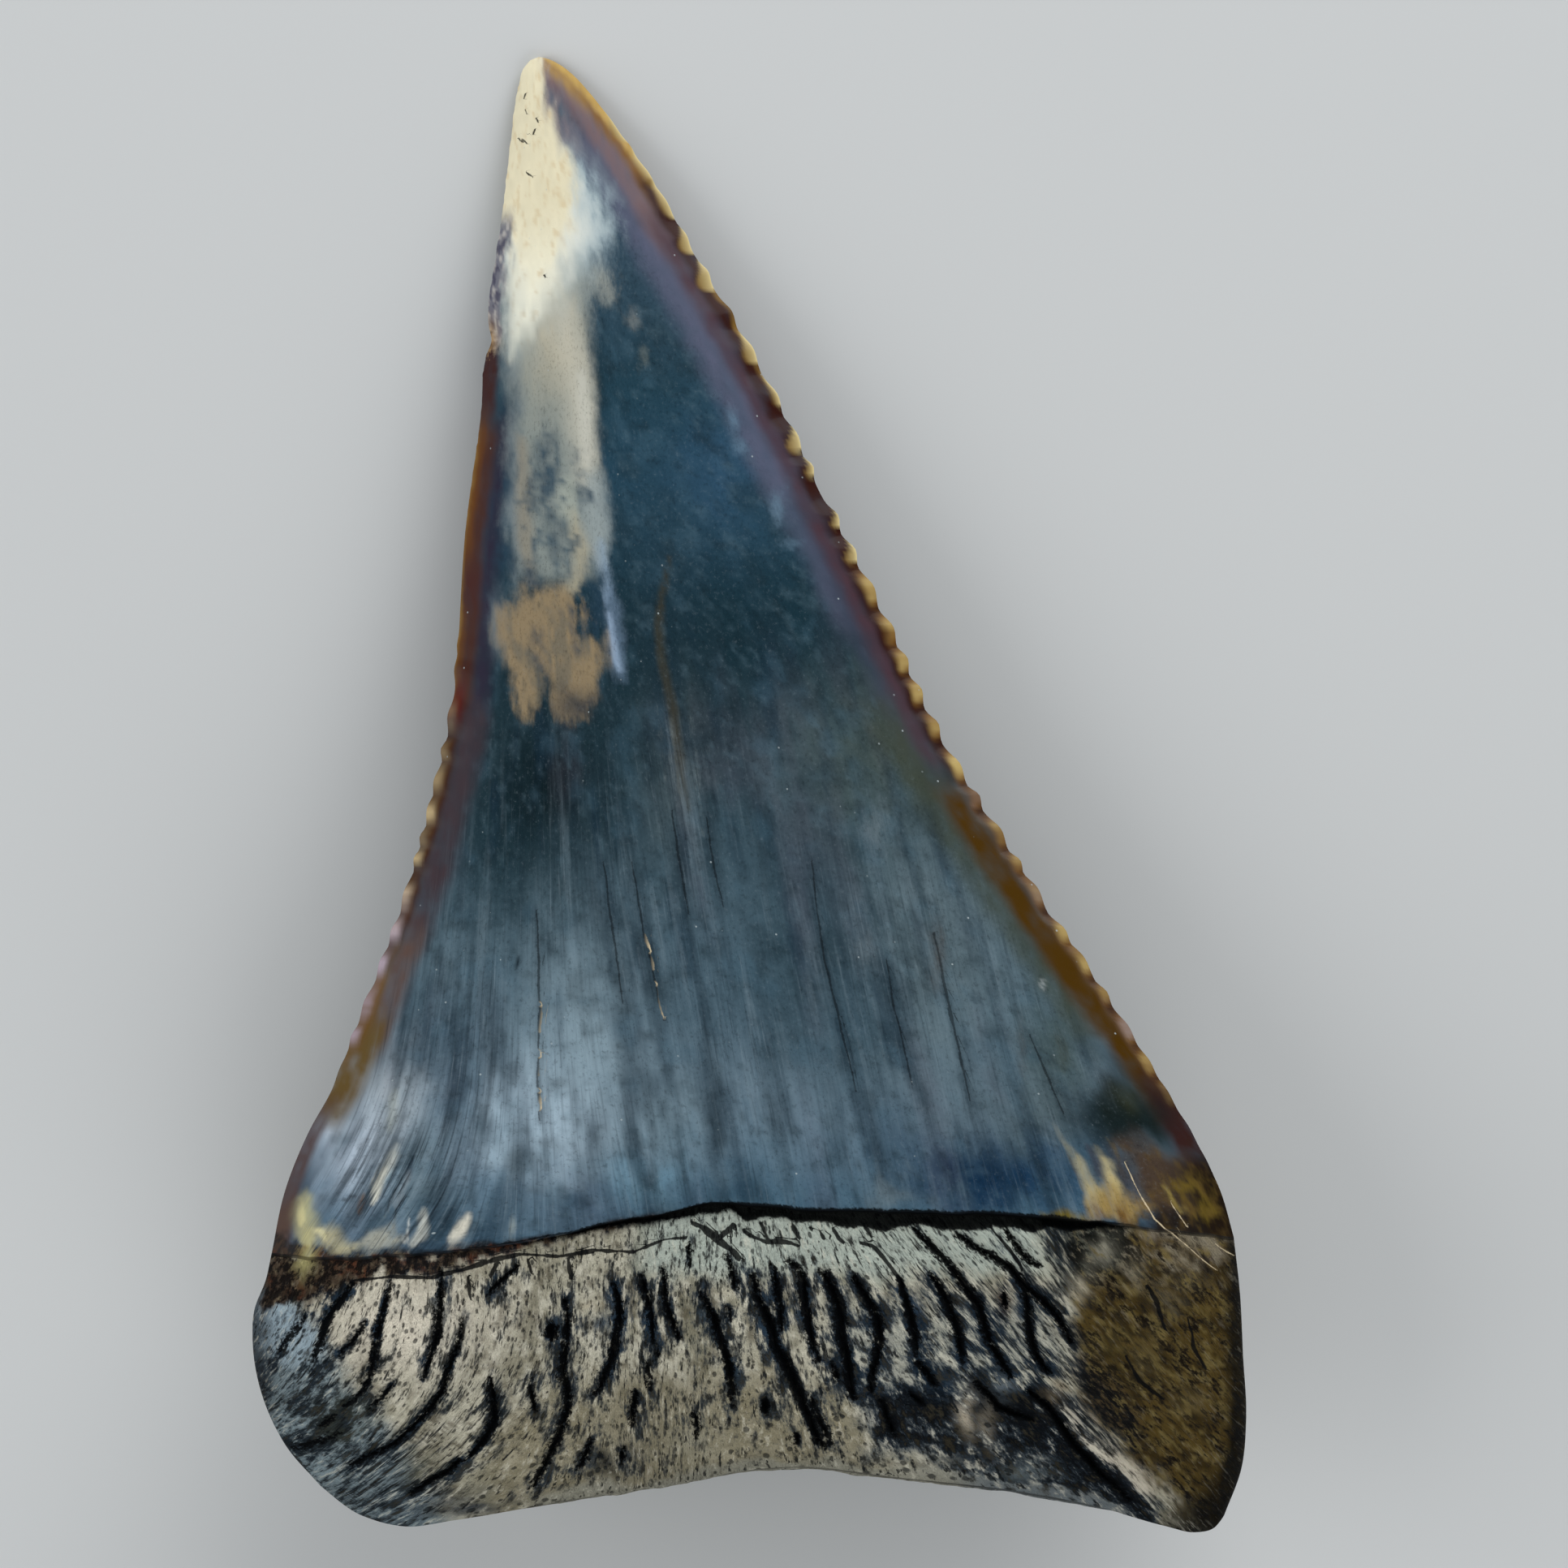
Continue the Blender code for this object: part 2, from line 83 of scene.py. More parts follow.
# Lower edge of the enamel, which is nearly straight outside and a chevron inside
LABIAL_FOOT = (LEFT_FOOT, (-13.5, 8.8), (-11.0, 8.95), (-8.4, 9.25), (-6.3, 9.6), (-4.2, 10.05),
               (-2.6, 10.3), (-1.3, 10.65), (0.0, 10.55), (2.4, 10.4), (5.7, 10.3), (9.0, 10.2),
               (12.3, 9.85), RIGHT_FOOT)
LINGUAL_FOOT = (LEFT_FOOT, (-12.5, 10.2), (-8.0, 12.8), (-4.0, 15.2), (-0.6, 16.4), (2.8, 15.4),
                (7.5, 13.2), (12.5, 10.6), RIGHT_FOOT)

# Height of the face above the edges as (v, millimetres), and depth of the back below them as
# (y, millimetres)
LABIAL_RISE = ((0.0, 0.1), (0.03, 0.35), (0.1, 0.55), (0.3, 0.8), (0.6, 1.15), (1.0, 1.5),
               (1.3, 1.6), (1.7, 1.4), (2.0, 1.2))
LINGUAL_DEPTH = ((0.0, 4.4), (2.5, 5.4), (5.5, 7.1), (8.0, 7.4), (11.0, 6.4), (15.0, 5.2), (20.0, 4.25),
                 (27.0, 3.1), (36.0, 1.9), (43.0, 0.85), (46.0, 0.5), (47.4, 0.15))
TIP_LEAN = 1.5
BASE_CLOSING = 0.97
BASE_BULGE = 0.25           # how far the base swells beyond its two edges

# Relief, in millimetres
FOOT_WOBBLE = 0.06          # unevenness of the enamel's lower edge
FOOT_STEP = 0.2             # thickness of the enamel that stands over the root
GAP_DEPTH = 0.32            # depth of the dark gap along that edge, below the step
GAP_WIDTHS = ((-16.0, -0.1), (-9.0, -0.02), (-6.5, 0.08), (-5.0, 0.18), (-2.5, 0.3), (0.0, 0.4), (4.0, 0.48),
              (8.5, 0.42), (10.5, 0.27), (12.0, 0.08), (16.0, 0.0))
GROOVE_DEPTH = 0.38
CRACK_DEPTH = 0.07
ROOT_ROUGHNESS = 0.085
FLUTE_DEPTH = 0.025
FORAMEN_PLACE = (0.6, 4.3)  # nutrient hole in the back of the root, x and y
FORAMEN_RADIUS = 0.45
FORAMEN_DEPTH = 1.2
BUMP_DEPTH = 0.12           # depth of the finest bumps, which aren't in the mesh

# How it lies
TILT = math.radians(7.7)
LIFT = 8.0
SHIFT = (0.01, -23.33)

# Knobs of the cutting edges: heights y, and the depth of the notches as (y, millimetres)
RIGHT_KNOBS = (46.3, 45.4, 44.5, 43.6, 42.7, 41.6, 40.4, 39.1, 37.9, 36.4, 35.1, 34.1, 32.5, 31.4,
               30.2, 28.9, 27.9, 26.9, 25.8, 24.5, 23.5, 22.4, 21.4, 20.5, 19.2, 18.3, 17.2, 16.1,
               15.0, 14.0, 12.9, 11.8)
LEFT_KNOBS = (28.4, 27.6, 26.1, 25.0, 24.0, 23.1, 22.2, 21.5, 20.4, 19.2, 18.2, 16.9, 15.8, 14.7)
RIGHT_NOTCHES = ((11.0, 0.0), (15.0, 0.08), (19.0, 0.18), (30.0, 0.22), (38.0, 0.17), (43.0, 0.08),
                 (46.5, 0.0))
LEFT_NOTCHES = ((13.0, 0.0), (17.0, 0.12), (26.0, 0.15), (28.5, 0.04), (29.5, 0.0))
KNOB_SIZE = 0.36
LEFT_SLANT = 0.2            # how far the knobs run down for each millimetre from their edge
RIGHT_SLANT = 0.5
KNOB_RELIEF = 0.04          # how far the knobs stand out of both faces
CHIP_PLACE = 38.2           # y of the small chip in the left edge
CHIP_LENGTH = 1.0
CHIP_DEPTH = 0.22

# Fineness of the mesh: columns across a side, and rows down the crown and the root
COLUMNS = 304
FINE_ROW = 0.1              # millimetres between rows near the tip
FINE_STRETCH = 12.0
COARSE_ROW = 0.155
ROOT_ROWS = 80
BASE_ROWS = 7
EDGE_CROWDING = 0.45        # share of the columns' spacing that crowds towards the edges
SHARP_ANGLE = math.radians(70.0)
BOX_MARGIN = 0.002 * MM     # how far the mesh stays inside the solid's box

# Long pores and grooves of the outer root: (width, points down the groove), in millimetres
ROOT_GROOVES = (
    (0.15, ((-14.1, 7.0), (-14.5, 6.5), (-15.0, 5.8))),
    (0.26, ((-12.6, 8.0), (-13.05, 7.4), (-13.5, 6.7), (-13.6, 6.2), (-13.9, 5.6))),
    (0.15, ((-12.2, 6.8), (-12.6, 6.2), (-13.0, 5.8))),
    (0.2, ((-11.35, 8.05), (-11.6, 7.3), (-11.8, 6.5), (-11.95, 5.8), (-12.05, 5.2), (-12.3, 4.6),
            (-12.9, 4.1))),
    (0.2, ((-9.8, 8.5), (-9.85, 7.0), (-9.95, 6.3), (-10.15, 5.7), (-10.35, 5.1))),
    (0.2, ((-9.1, 6.9), (-9.15, 6.3), (-9.35, 5.8), (-9.6, 5.2), (-9.75, 4.6), (-10.1, 4.1),
            (-10.6, 3.55), (-11.3, 2.9), (-12.2, 2.5), (-12.7, 2.2))),
    (0.15, ((-13.0, 3.3), (-13.6, 3.05), (-14.4, 2.75), (-14.7, 2.8))),
    (0.2, ((-9.2, 2.4), (-9.6, 2.0), (-10.2, 1.7), (-10.8, 1.3))),
    (0.14, ((-13.2, 3.8), (-13.7, 3.45))),
    (0.14, ((-11.3, 4.9), (-11.7, 4.4), (-12.1, 4.0))),
    (0.12, ((-7.3, 8.6), (-7.8, 8.2), (-8.3, 7.7))),
    (0.25, ((-8.2, 5.0), (-8.15, 4.2), (-8.1, 3.7), (-8.25, 3.3), (-8.6, 2.8), (-9.0, 2.4))),
    (0.14, ((-6.95, 5.0), (-6.9, 4.5), (-6.85, 4.0))),
    (0.45, ((-6.3, 6.7), (-6.3, 6.3))),
    (0.26, ((-5.85, 7.5), (-5.8, 6.8), (-5.85, 6.0), (-5.95, 5.2), (-5.8, 4.5), (-5.8, 4.0),
            (-5.95, 3.5), (-6.1, 3.1), (-6.4, 2.5), (-6.7, 1.9), (-6.9, 1.5))),
    (0.26, ((-4.3, 8.0), (-4.15, 7.4), (-4.15, 6.8), (-4.25, 6.3), (-4.3, 6.0), (-4.5, 5.4),
            (-4.7, 4.8), (-4.9, 4.5))),
    (0.2, ((-3.4, 8.3), (-3.35, 8.0), (-3.2, 7.4), (-3.1, 6.7), (-3.1, 6.2))),
    (0.18, ((-3.25, 5.5), (-3.2, 4.9), (-3.15, 4.6))),
    (0.22, ((-3.6, 4.6), (-3.7, 4.0), (-3.7, 3.5))),
    (0.2, ((-2.75, 8.5), (-2.7, 7.7), (-2.6, 7.2), (-2.4, 6.7), (-2.25, 6.3))),
    (0.12, ((-2.95, 6.0), (-2.9, 5.5))),
    (0.16, ((-5.0, 3.1), (-5.2, 2.6), (-5.45, 2.1))),
    (0.14, ((-4.0, 2.8), (-4.15, 2.2))),
    (0.12, ((-1.9, 9.3), (-1.95, 8.6))),
    (0.16, ((-0.65, 8.9), (-0.55, 8.4), (-0.45, 7.9))),
    (0.28, ((-1.5, 7.7), (-1.1, 6.9), (-1.0, 6.4), (-0.85, 6.0), (-0.65, 5.4), (-0.6, 4.8), (-0.55, 4.2))),
    (0.12, ((-0.7, 7.3), (-0.65, 6.9))),
    (0.28, ((0.1, 8.3), (0.25, 7.6), (0.5, 7.2), (0.7, 6.6), (0.8, 6.0), (1.1, 5.6), (1.35, 5.0),
            (1.55, 4.6), (1.75, 4.1), (1.95, 3.6), (2.15, 3.05), (2.4, 2.8))),
    (0.15, ((0.75, 8.6), (0.85, 8.0), (0.95, 7.2), (1.0, 6.6))),
    (0.22, ((1.3, 8.75), (1.6, 8.5), (1.75, 8.0), (1.8, 7.3), (1.9, 6.6), (2.05, 6.0), (2.15, 5.6))),
    (0.3, ((2.35, 8.4), (2.6, 7.9), (2.8, 7.4), (2.9, 6.9), (2.9, 6.4), (3.0, 6.0), (3.15, 5.4),
            (3.2, 4.8), (3.3, 4.4))),
    (0.24, ((3.3, 8.25), (3.6, 7.8), (3.9, 7.3), (4.1, 6.8), (4.15, 6.2), (4.05, 5.7), (3.9, 5.1),
            (3.85, 4.6))),
    (0.2, ((4.8, 8.2), (4.95, 7.6), (5.1, 7.0), (5.25, 6.4), (5.3, 5.8))),
    (0.28, ((0.5, 4.3), (0.5, 3.9))),
    (0.14, ((2.0, 4.4), (2.1, 3.9), (2.45, 3.2), (2.5, 2.9))),
    (0.14, ((2.6, 5.5), (2.8, 5.0))),
    (0.15, ((4.2, 4.3), (4.35, 3.8), (4.6, 3.2))),
    (0.16, ((-1.7, 3.9), (-1.7, 3.1))),
    (0.18, ((1.5, 3.2), (1.5, 2.85))),
    (0.22, ((5.25, 9.75), (5.7, 9.3), (6.1, 8.9), (6.4, 8.6), (6.7, 8.1), (7.0, 7.7), (7.3, 7.3),
            (7.45, 6.8), (7.6, 6.2), (7.85, 5.8), (8.1, 5.4), (8.3, 5.1))),
    (0.2, ((6.6, 9.6), (7.2, 9.15), (7.8, 8.85), (8.3, 8.55), (8.6, 8.1), (8.95, 7.8), (9.4, 7.4),
            (9.75, 7.0), (10.0, 6.6), (10.2, 6.2))),
    (0.15, ((8.15, 9.7), (8.45, 9.3), (8.65, 9.0), (8.9, 8.7), (9.2, 8.65))),
    (0.22, ((5.75, 8.3), (6.05, 7.9), (6.3, 7.4), (6.45, 7.0), (6.6, 6.5), (6.7, 6.0), (6.8, 5.6))),
    (0.2, ((8.55, 8.3), (8.75, 7.8), (8.85, 7.2), (8.9, 6.6), (9.0, 6.1), (9.2, 5.6), (9.5, 5.2))),
    (0.18, ((5.4, 5.5), (5.7, 5.1), (5.9, 4.75))),
    (0.14, ((5.1, 4.5), (5.5, 4.2))),
    (0.18, ((7.2, 4.9), (7.6, 4.5), (7.9, 4.1), (8.4, 3.9), (9.0, 3.7))),
    (0.22, ((8.9, 4.6), (9.4, 4.2), (9.7, 3.8), (10.0, 3.4), (10.3, 2.9), (10.7, 2.5), (11.1, 2.0),
            (11.6, 1.6), (12.1, 1.1))),
    (0.14, ((8.1, 7.7), (8.1, 7.3))),
)

# Fine cracks of the root just below the enamel, as the grooves
ROOT_CRACKS = (
    (0.2, ((-1.9, 10.0), (-1.5, 9.85), (-1.15, 9.55), (-0.95, 9.4), (-0.6, 9.15), (-0.2, 8.75))),
    (0.18, ((-0.45, 9.95), (-0.8, 9.65), (-1.0, 9.5))),
    (0.17, ((-0.25, 9.75), (0.1, 9.5), (0.5, 9.35), (0.9, 9.4), (1.3, 9.35), (1.65, 9.22))),
    (0.12, ((0.3, 10.05), (0.45, 9.7), (0.55, 9.45))),
    (0.12, ((1.3, 10.0), (1.5, 9.65), (1.65, 9.4))),
    (0.11, ((1.9, 9.9), (2.05, 9.7))),
    (0.11, ((2.25, 9.7), (2.45, 9.4))),
    (0.12, ((2.65, 9.85), (2.85, 9.5), (3.1, 9.25))),
    (0.12, ((3.6, 9.9), (3.9, 9.45))),
    (0.14, ((3.4, 9.35), (3.9, 9.25), (4.25, 8.9), (4.5, 8.6), (4.8, 8.2), (5.0, 7.7))),
    (0.12, ((-12.7, 8.1), (-11.4, 8.25), (-10.1, 8.22), (-9.2, 8.45), (-8.1, 8.8), (-7.2, 8.97), (-6.0, 8.9),
            (-4.9, 9.1), (-3.7, 9.04), (-2.7, 9.45), (-1.9, 9.5))),
    (0.11, ((7.6, 9.9), (8.2, 9.2), (8.7, 8.4))),
    (0.11, ((12.6, 8.1), (13.0, 7.4), (13.2, 6.5))),
    (0.13, ((-8.0, 8.75), (-8.25, 8.2))),
    (0.12, ((-8.95, 8.35), (-8.85, 7.5))),
    (0.1, ((-5.75, 8.85), (-5.65, 8.1))),
    (0.1, ((-7.0, 8.8), (-6.9, 8.35))),
    (0.1, ((11.9, 5.8), (12.4, 4.9), (13.2, 4.3))),
    (0.09, ((13.9, 7.0), (14.1, 6.0), (14.6, 5.2))),
)

# Cracks of the enamel, dark and hair fine
CROWN_CRACKS = (
    (0.07, ((-6.8, 20.0), (-6.72, 18.2), (-6.67, 16.6), (-6.72, 15.0), (-6.67, 13.2))),
    (0.05, ((-4.67, 21.5), (-4.36, 19.2), (-4.0, 16.9))),
    (0.05, ((-3.76, 21.5), (-3.3, 18.95), (-2.7, 16.35))),
    (0.05, ((-2.46, 23.1), (-2.2, 21.4), (-1.94, 19.7))),
    (0.04, ((-1.35, 22.9), (-1.1, 21.2), (-0.8, 19.9))),
    (0.06, ((1.96, 21.55), (2.17, 19.7), (2.48, 17.9), (3.0, 15.9), (3.4, 14.1))),
    (0.04, ((4.3, 18.4), (4.75, 16.2), (5.2, 14.2))),
    (0.08, ((5.86, 19.2), (6.25, 17.4), (6.64, 15.6), (7.03, 13.75))),
    (0.04, ((8.9, 16.0), (9.5, 14.6), (10.1, 13.2))),
)

# How far the crown's streaks slant to the right on their way down: (x, slant)
STREAK_SLANTS = ((-14.0, -0.25), (-10.0, -0.12), (-7.0, 0.0), (-4.0, 0.16), (2.0, 0.2), (7.0, 0.22),
                 (11.0, 0.33), (14.0, 0.4))

# Outlines of the crown's markings
IVORY_TIP = ((-6.81, 47.6), (-6.77, 46.8), (-6.64, 46.0), (-6.36, 45.2), (-5.99, 44.3), (-5.71, 43.6),
             (-5.6, 42.9), (-5.75, 42.1), (-5.95, 41.3), (-6.0, 40.7), (-6.2, 39.7), (-6.6, 39.0),
             (-7.1, 38.3), (-7.8, 37.8), (-7.75, 39.0), (-7.68, 40.3), (-7.68, 41.2), (-7.9, 42.0),
             (-8.5, 42.6), (-8.4, 45.5), (-7.6, 47.8))
PALE_TIP = ((-6.72, 47.2), (-6.5, 46.0), (-6.15, 45.15), (-5.65, 44.25), (-5.1, 43.45), (-4.6, 42.75),
            (-4.35, 42.0), (-4.35, 41.3), (-4.7, 40.6), (-5.1, 40.0), (-5.5, 39.4), (-5.85, 38.85),
            (-6.35, 38.3), (-7.0, 37.75), (-7.7, 37.55), (-8.3, 38.2), (-8.6, 42.0), (-8.0, 47.4))
GHOST = ((-8.05, 39.5), (-7.0, 41.5), (-5.6, 42.0), (-4.9, 41.0), (-5.0, 39.4), (-4.95, 38.0),
         (-4.85, 36.6), (-4.75, 35.1), (-4.65, 34.0), (-4.6, 31.8), (-4.8, 30.5), (-5.8, 30.1),
         (-7.6, 30.2), (-8.0, 31.8), (-7.95, 34.0), (-7.85, 36.4))
TAN_PATCH = ((-8.1, 28.95), (-7.9, 29.6), (-7.45, 29.95), (-6.45, 30.15), (-5.8, 30.15), (-5.5, 29.75),
             (-5.3, 29.15), (-5.5, 28.6), (-4.7, 28.5), (-4.65, 27.8), (-4.75, 27.0), (-4.9, 26.5),
             (-5.5, 25.95), (-6.1, 26.15), (-6.35, 26.8), (-6.55, 27.5), (-6.75, 27.6), (-6.7, 26.95),
             (-6.9, 26.3), (-7.15, 25.9), (-7.5, 26.5), (-7.6, 27.5), (-7.7, 28.15), (-8.0, 28.5))
CREAM_BLOCK = ((10.7, 10.75), (11.2, 11.0), (12.1, 10.85), (12.7, 10.3), (12.4, 10.0), (10.8, 10.1))
BROWN_CORNER = ((11.7, 12.5), (12.3, 12.45), (13.3, 12.1), (14.2, 12.0), (15.2, 11.4), (16.4, 8.6),
                (12.8, 9.0), (12.5, 10.3), (12.05, 11.3))
CRUMBLY_FOOT = ((-15.4, 9.3), (-12.6, 8.9), (-9.5, 9.1), (-5.8, 9.75), (-2.6, 10.4), (-2.8, 10.1),
                (-5.8, 9.4), (-9.5, 8.5), (-12.9, 8.05), (-13.6, 7.5), (-15.8, 7.3))

# Pale veins that cross the enamel's edge at the right
PALE_VEINS = (
    (0.024, ((11.9, 11.9), (12.2, 11.25), (12.47, 10.75), (12.88, 10.05), (13.3, 9.7), (13.6, 9.45),
             (14.3, 8.85), (14.55, 8.65), (14.9, 8.4))),
    (0.02, ((13.45, 10.6), (13.95, 9.75))),
    (0.02, ((14.8, 9.25), (15.5, 8.8))),
)
# Pale dashes beside two of the crown's cracks
WHITE_DASHES = (
    (0.03, ((-6.62, 16.9), (-6.61, 15.9))),
    (0.03, ((-6.62, 15.4), (-6.6, 14.6))),
    (0.03, ((-6.6, 14.2), (-6.6, 13.5))),
    (0.02, ((-3.25, 19.1), (-3.0, 18.0))),
    (0.02, ((-2.95, 17.6), (-2.7, 16.5))),
)
# Light fleck of the brown corner
CORNER_FLECK = ((0.16, ((13.25, 11.15), (13.85, 10.25))),)
# Dark hollows in the pale column and the tan patch
HOLLOWS = (
    (0.7, ((-6.45, 35.1), (-6.5, 34.2), (-6.6, 33.2), (-6.5, 32.7))),
    (0.5, ((-6.4, 32.6), (-6.1, 32.0), (-6.2, 31.3))),
    (0.45, ((-7.0, 33.4), (-6.9, 32.8))),
    (0.5, ((-7.85, 33.7), (-7.75, 32.9))),
    (0.6, ((-7.9, 31.5), (-7.75, 30.6))),
    (0.35, ((-7.0, 30.6), (-6.75, 30.1))),
    (0.4, ((-5.6, 33.2), (-5.0, 33.1))),
    (0.4, ((-4.95, 30.6), (-4.95, 29.8), (-5.1, 28.8))),
    (0.22, ((-6.85, 28.8), (-6.85, 28.1), (-6.6, 27.5), (-6.55, 26.6))),
    (0.2, ((-5.45, 28.6), (-5.4, 28.0))),
    (0.2, ((-5.7, 29.4), (-5.55, 28.8))),
)
# Tiny dark pits in the ivory tip: (x, y, how much they lean to the right)
PIT_PLACES = ((-7.24, 46.1, -1.0), (-7.2, 45.55, 1.0), (-6.85, 45.3, 1.0), (-6.95, 44.9, -1.0),
              (-7.4, 44.65, 3.0), (-7.24, 44.6, 3.0), (-7.06, 43.5, 3.0), (-6.6, 40.2, 1.0))
IVORY_PITS = tuple((0.035, ((x - 0.04 * lean, y + 0.13), (x + 0.04 * lean, y - 0.11)))
                   for x, y, lean in PIT_PLACES)


def hermite(knots, values, at):
    """Smooth cubic interpolation of values given at knots, with no overshoot past the ends."""
    knots = np.asarray(knots, float)
    values = np.asarray(values, float).reshape(len(knots), -1)
    slope = np.gradient(values, knots, axis=0)
    at = np.clip(np.asarray(at, float), knots[0], knots[-1])
    k = np.clip(np.searchsorted(knots, at, side="right") - 1, 0, len(knots) - 2)
    span = (knots[k + 1] - knots[k])[:, None]
    t = (at - knots[k])[:, None] / span
    start = (2 * t**3 - 3 * t**2 + 1) * values[k] + (t**3 - 2 * t**2 + t) * span * slope[k]
    end = (3 * t**2 - 2 * t**3) * values[k + 1] + (t**3 - t**2) * span * slope[k + 1]
    return start + end


def profile(pairs, at):
    """Value of a smooth profile given as (place, value) pairs."""
    places, values = zip(*pairs)
    at = np.asarray(at, float)
    return hermite(places, values, at.ravel())[:, 0].reshape(at.shape)


def ease(value, low, high):
    """0 below low, 1 above high, and a smooth step between them."""
    t = np.clip((np.asarray(value, float) - low) / (high - low), 0.0, 1.0)
    return t * t * (3.0 - 2.0 * t)


class Curve:
    """A smooth curve through points, read by the share of its length."""

    def __init__(self, points, samples=600):
        points = np.asarray(points, float)
        chord = np.r_[0.0, np.cumsum(np.linalg.norm(np.diff(points, axis=0), axis=1))]
        self.points = hermite(chord, points, np.linspace(0.0, chord[-1], samples))
        steps = np.linalg.norm(np.diff(self.points, axis=0), axis=1)
        self.distance = np.r_[0.0, np.cumsum(steps)]
        self.length = self.distance[-1]

    def at(self, share):
        """Points at the given shares of the length."""
        along = np.asarray(share) * self.length
        return np.stack([np.interp(along, self.distance, self.points[:, i]) for i in (0, 1)], axis=-1)

    def outward(self, share, side):
        """Unit normals that point out of the tooth: side is -1 on the left and 1 on the right."""
        ahead = self.at(np.clip(share + 0.01, 0.0, 1.0)) - self.at(np.clip(share - 0.01, 0.0, 1.0))
        normal = np.stack([-ahead[..., 1], ahead[..., 0]], axis=-1) * side
        return normal / np.linalg.norm(normal, axis=-1, keepdims=True)


left_blade, right_blade = Curve(LEFT_BLADE), Curve(RIGHT_BLADE)
left_side, right_side = Curve(LEFT_SIDE), Curve(RIGHT_SIDE)
base_line = Curve(BASE)


# Noise and distances

def lattice(cells, seed):
    """A repeatable random number from -1 to 1 for each whole-numbered cell."""
    mixed = cells[..., 0] * 73856093 ^ cells[..., 1] * 19349663 ^ cells[..., 2] * 83492791 ^ seed * 2654435761
    mixed = (mixed & 0xFFFFFFFF) * 1274126177 & 0xFFFFFFFF
    mixed = (mixed ^ mixed >> 15) * 2246822519 & 0xFFFFFFFF
    return (mixed ^ mixed >> 13) / 2147483648.0 - 1.0


def smooth_noise(places, seed):
    """Smooth noise from -1 to 1 with one bump to a unit."""
    cell = np.floor(places).astype(np.int64)
    t = places - cell
    t = t * t * (3.0 - 2.0 * t)
    total = np.zeros(places.shape[:-1])
    for corner in range(8):
        step = np.array([corner & 1, corner >> 1 & 1, corner >> 2])
        weight = np.prod(np.where(step == 1, t, 1.0 - t), axis=-1)
        total += weight * lattice(cell + step, seed)
    return total


def cloud(x, y, w, size, seed, octaves=3):
    """Fractal noise from about -1 to 1; size gives its bumps' width and height in millimetres."""
    places = np.stack([x / size[0], y / size[1], w / size[0]], axis=-1)
    total = np.zeros(x.shape)
    for octave in range(octaves):
        total += 0.5**octave * smooth_noise(places * 2.0**octave + 17.3 * octave, seed + octave)
    return total / 1.4


def line_distance(x, y, points):
    """Distance to an open line, the share of its length at the nearest place, and which side."""
    points = np.asarray(points, float)
    steps = np.diff(points, axis=0)
    lengths = np.linalg.norm(steps, axis=1)
    starts = np.r_[0.0, np.cumsum(lengths)]
    best = np.full(x.shape, 1e9)
    share, side = np.zeros(x.shape), np.ones(x.shape)
    for start, step, length, before in zip(points, steps, lengths, starts):
        dx, dy = x - start[0], y - start[1]
        t = np.clip((dx * step[0] + dy * step[1]) / length**2, 0.0, 1.0)
        away = np.hypot(dx - t * step[0], dy - t * step[1])
        nearer = away < best
        best = np.where(nearer, away, best)
        share = np.where(nearer, (before + t * length) / starts[-1], share)
        side = np.where(nearer, np.where(dx * step[1] > dy * step[0], 1.0, -1.0), side)
    return best, share, side


def close_by(x, y, points, reach):
    """Which places lie in a line's box, widened by a reach."""
    low = np.min(points, axis=0) - reach
    high = np.max(points, axis=0) + reach
    return (x > low[0]) & (x < high[0]) & (y > low[1]) & (y < high[1])


def taper(share):
    """Share of its width that a stroke has along its length: narrow at both ends."""
    return 0.35 + 0.65 * np.sqrt(np.sin(np.pi * np.clip(share, 0.02, 0.98)))


def strokes_distance(x, y, strokes, reach=1.0):
    """Distance to the edge of the nearest stroke, negative inside it and reach far away."""
    field = np.full(x.shape, reach)
    for width, points in strokes:
        near = close_by(x, y, points, reach + width)
        away, share, _ = line_distance(x[near], y[near], points)
        field[near] = np.minimum(field[near], away - 0.5 * width * taper(share))
    return field


def hairlines(x, y, groups, reach):
    """Signed distance to the nearest hairline's middle, its half width, and its paleness.

    The sign tells the line's two sides apart, so a line much finer than the mesh stays whole.
    """
    nearest, signed = np.full(x.shape, reach), np.full(x.shape, reach)
    half, pale = np.full(x.shape, -0.05), np.zeros(x.shape)
    for paleness, strokes in groups:
        for width, points in strokes:
            near = np.flatnonzero(close_by(x, y, points, reach))
            away, share, side = line_distance(x[near], y[near], points)
            closer = (away < nearest[near]) & (share > 0.0) & (share < 1.0)
            here = near[closer]
            nearest[here] = away[closer]
            signed[here] = away[closer] * side[closer]
            half[here] = 0.5 * width * taper(share[closer])
            pale[here] = paleness
    return np.stack([signed, half, pale], axis=-1)


def area_distance(x, y, outline):
    """Distance to a closed outline, negative inside it."""
    closed = list(outline) + [outline[0]]
    inside = np.zeros(x.shape, bool)
    for (ax, ay), (bx, by) in zip(closed, closed[1:]):
        crosses = (ay > y) != (by > y)
        inside ^= crosses & (x < (bx - ax) * (y - ay) / (by - ay + 1e-12) + ax)
    away = line_distance(x, y, closed)[0]
    return np.where(inside, -away, away)


# Shape

def knob(y, places):
    """1 on top of each knob of a cutting edge and 0 between them; their lengths differ."""
    places = np.array(places)
    size = KNOB_SIZE * (1.0 + 0.3 * np.sin(9.0 * places))
    gap = (np.abs(np.asarray(y)[..., None] - places) / size).min(axis=-1)
    return np.exp(-(gap**2))


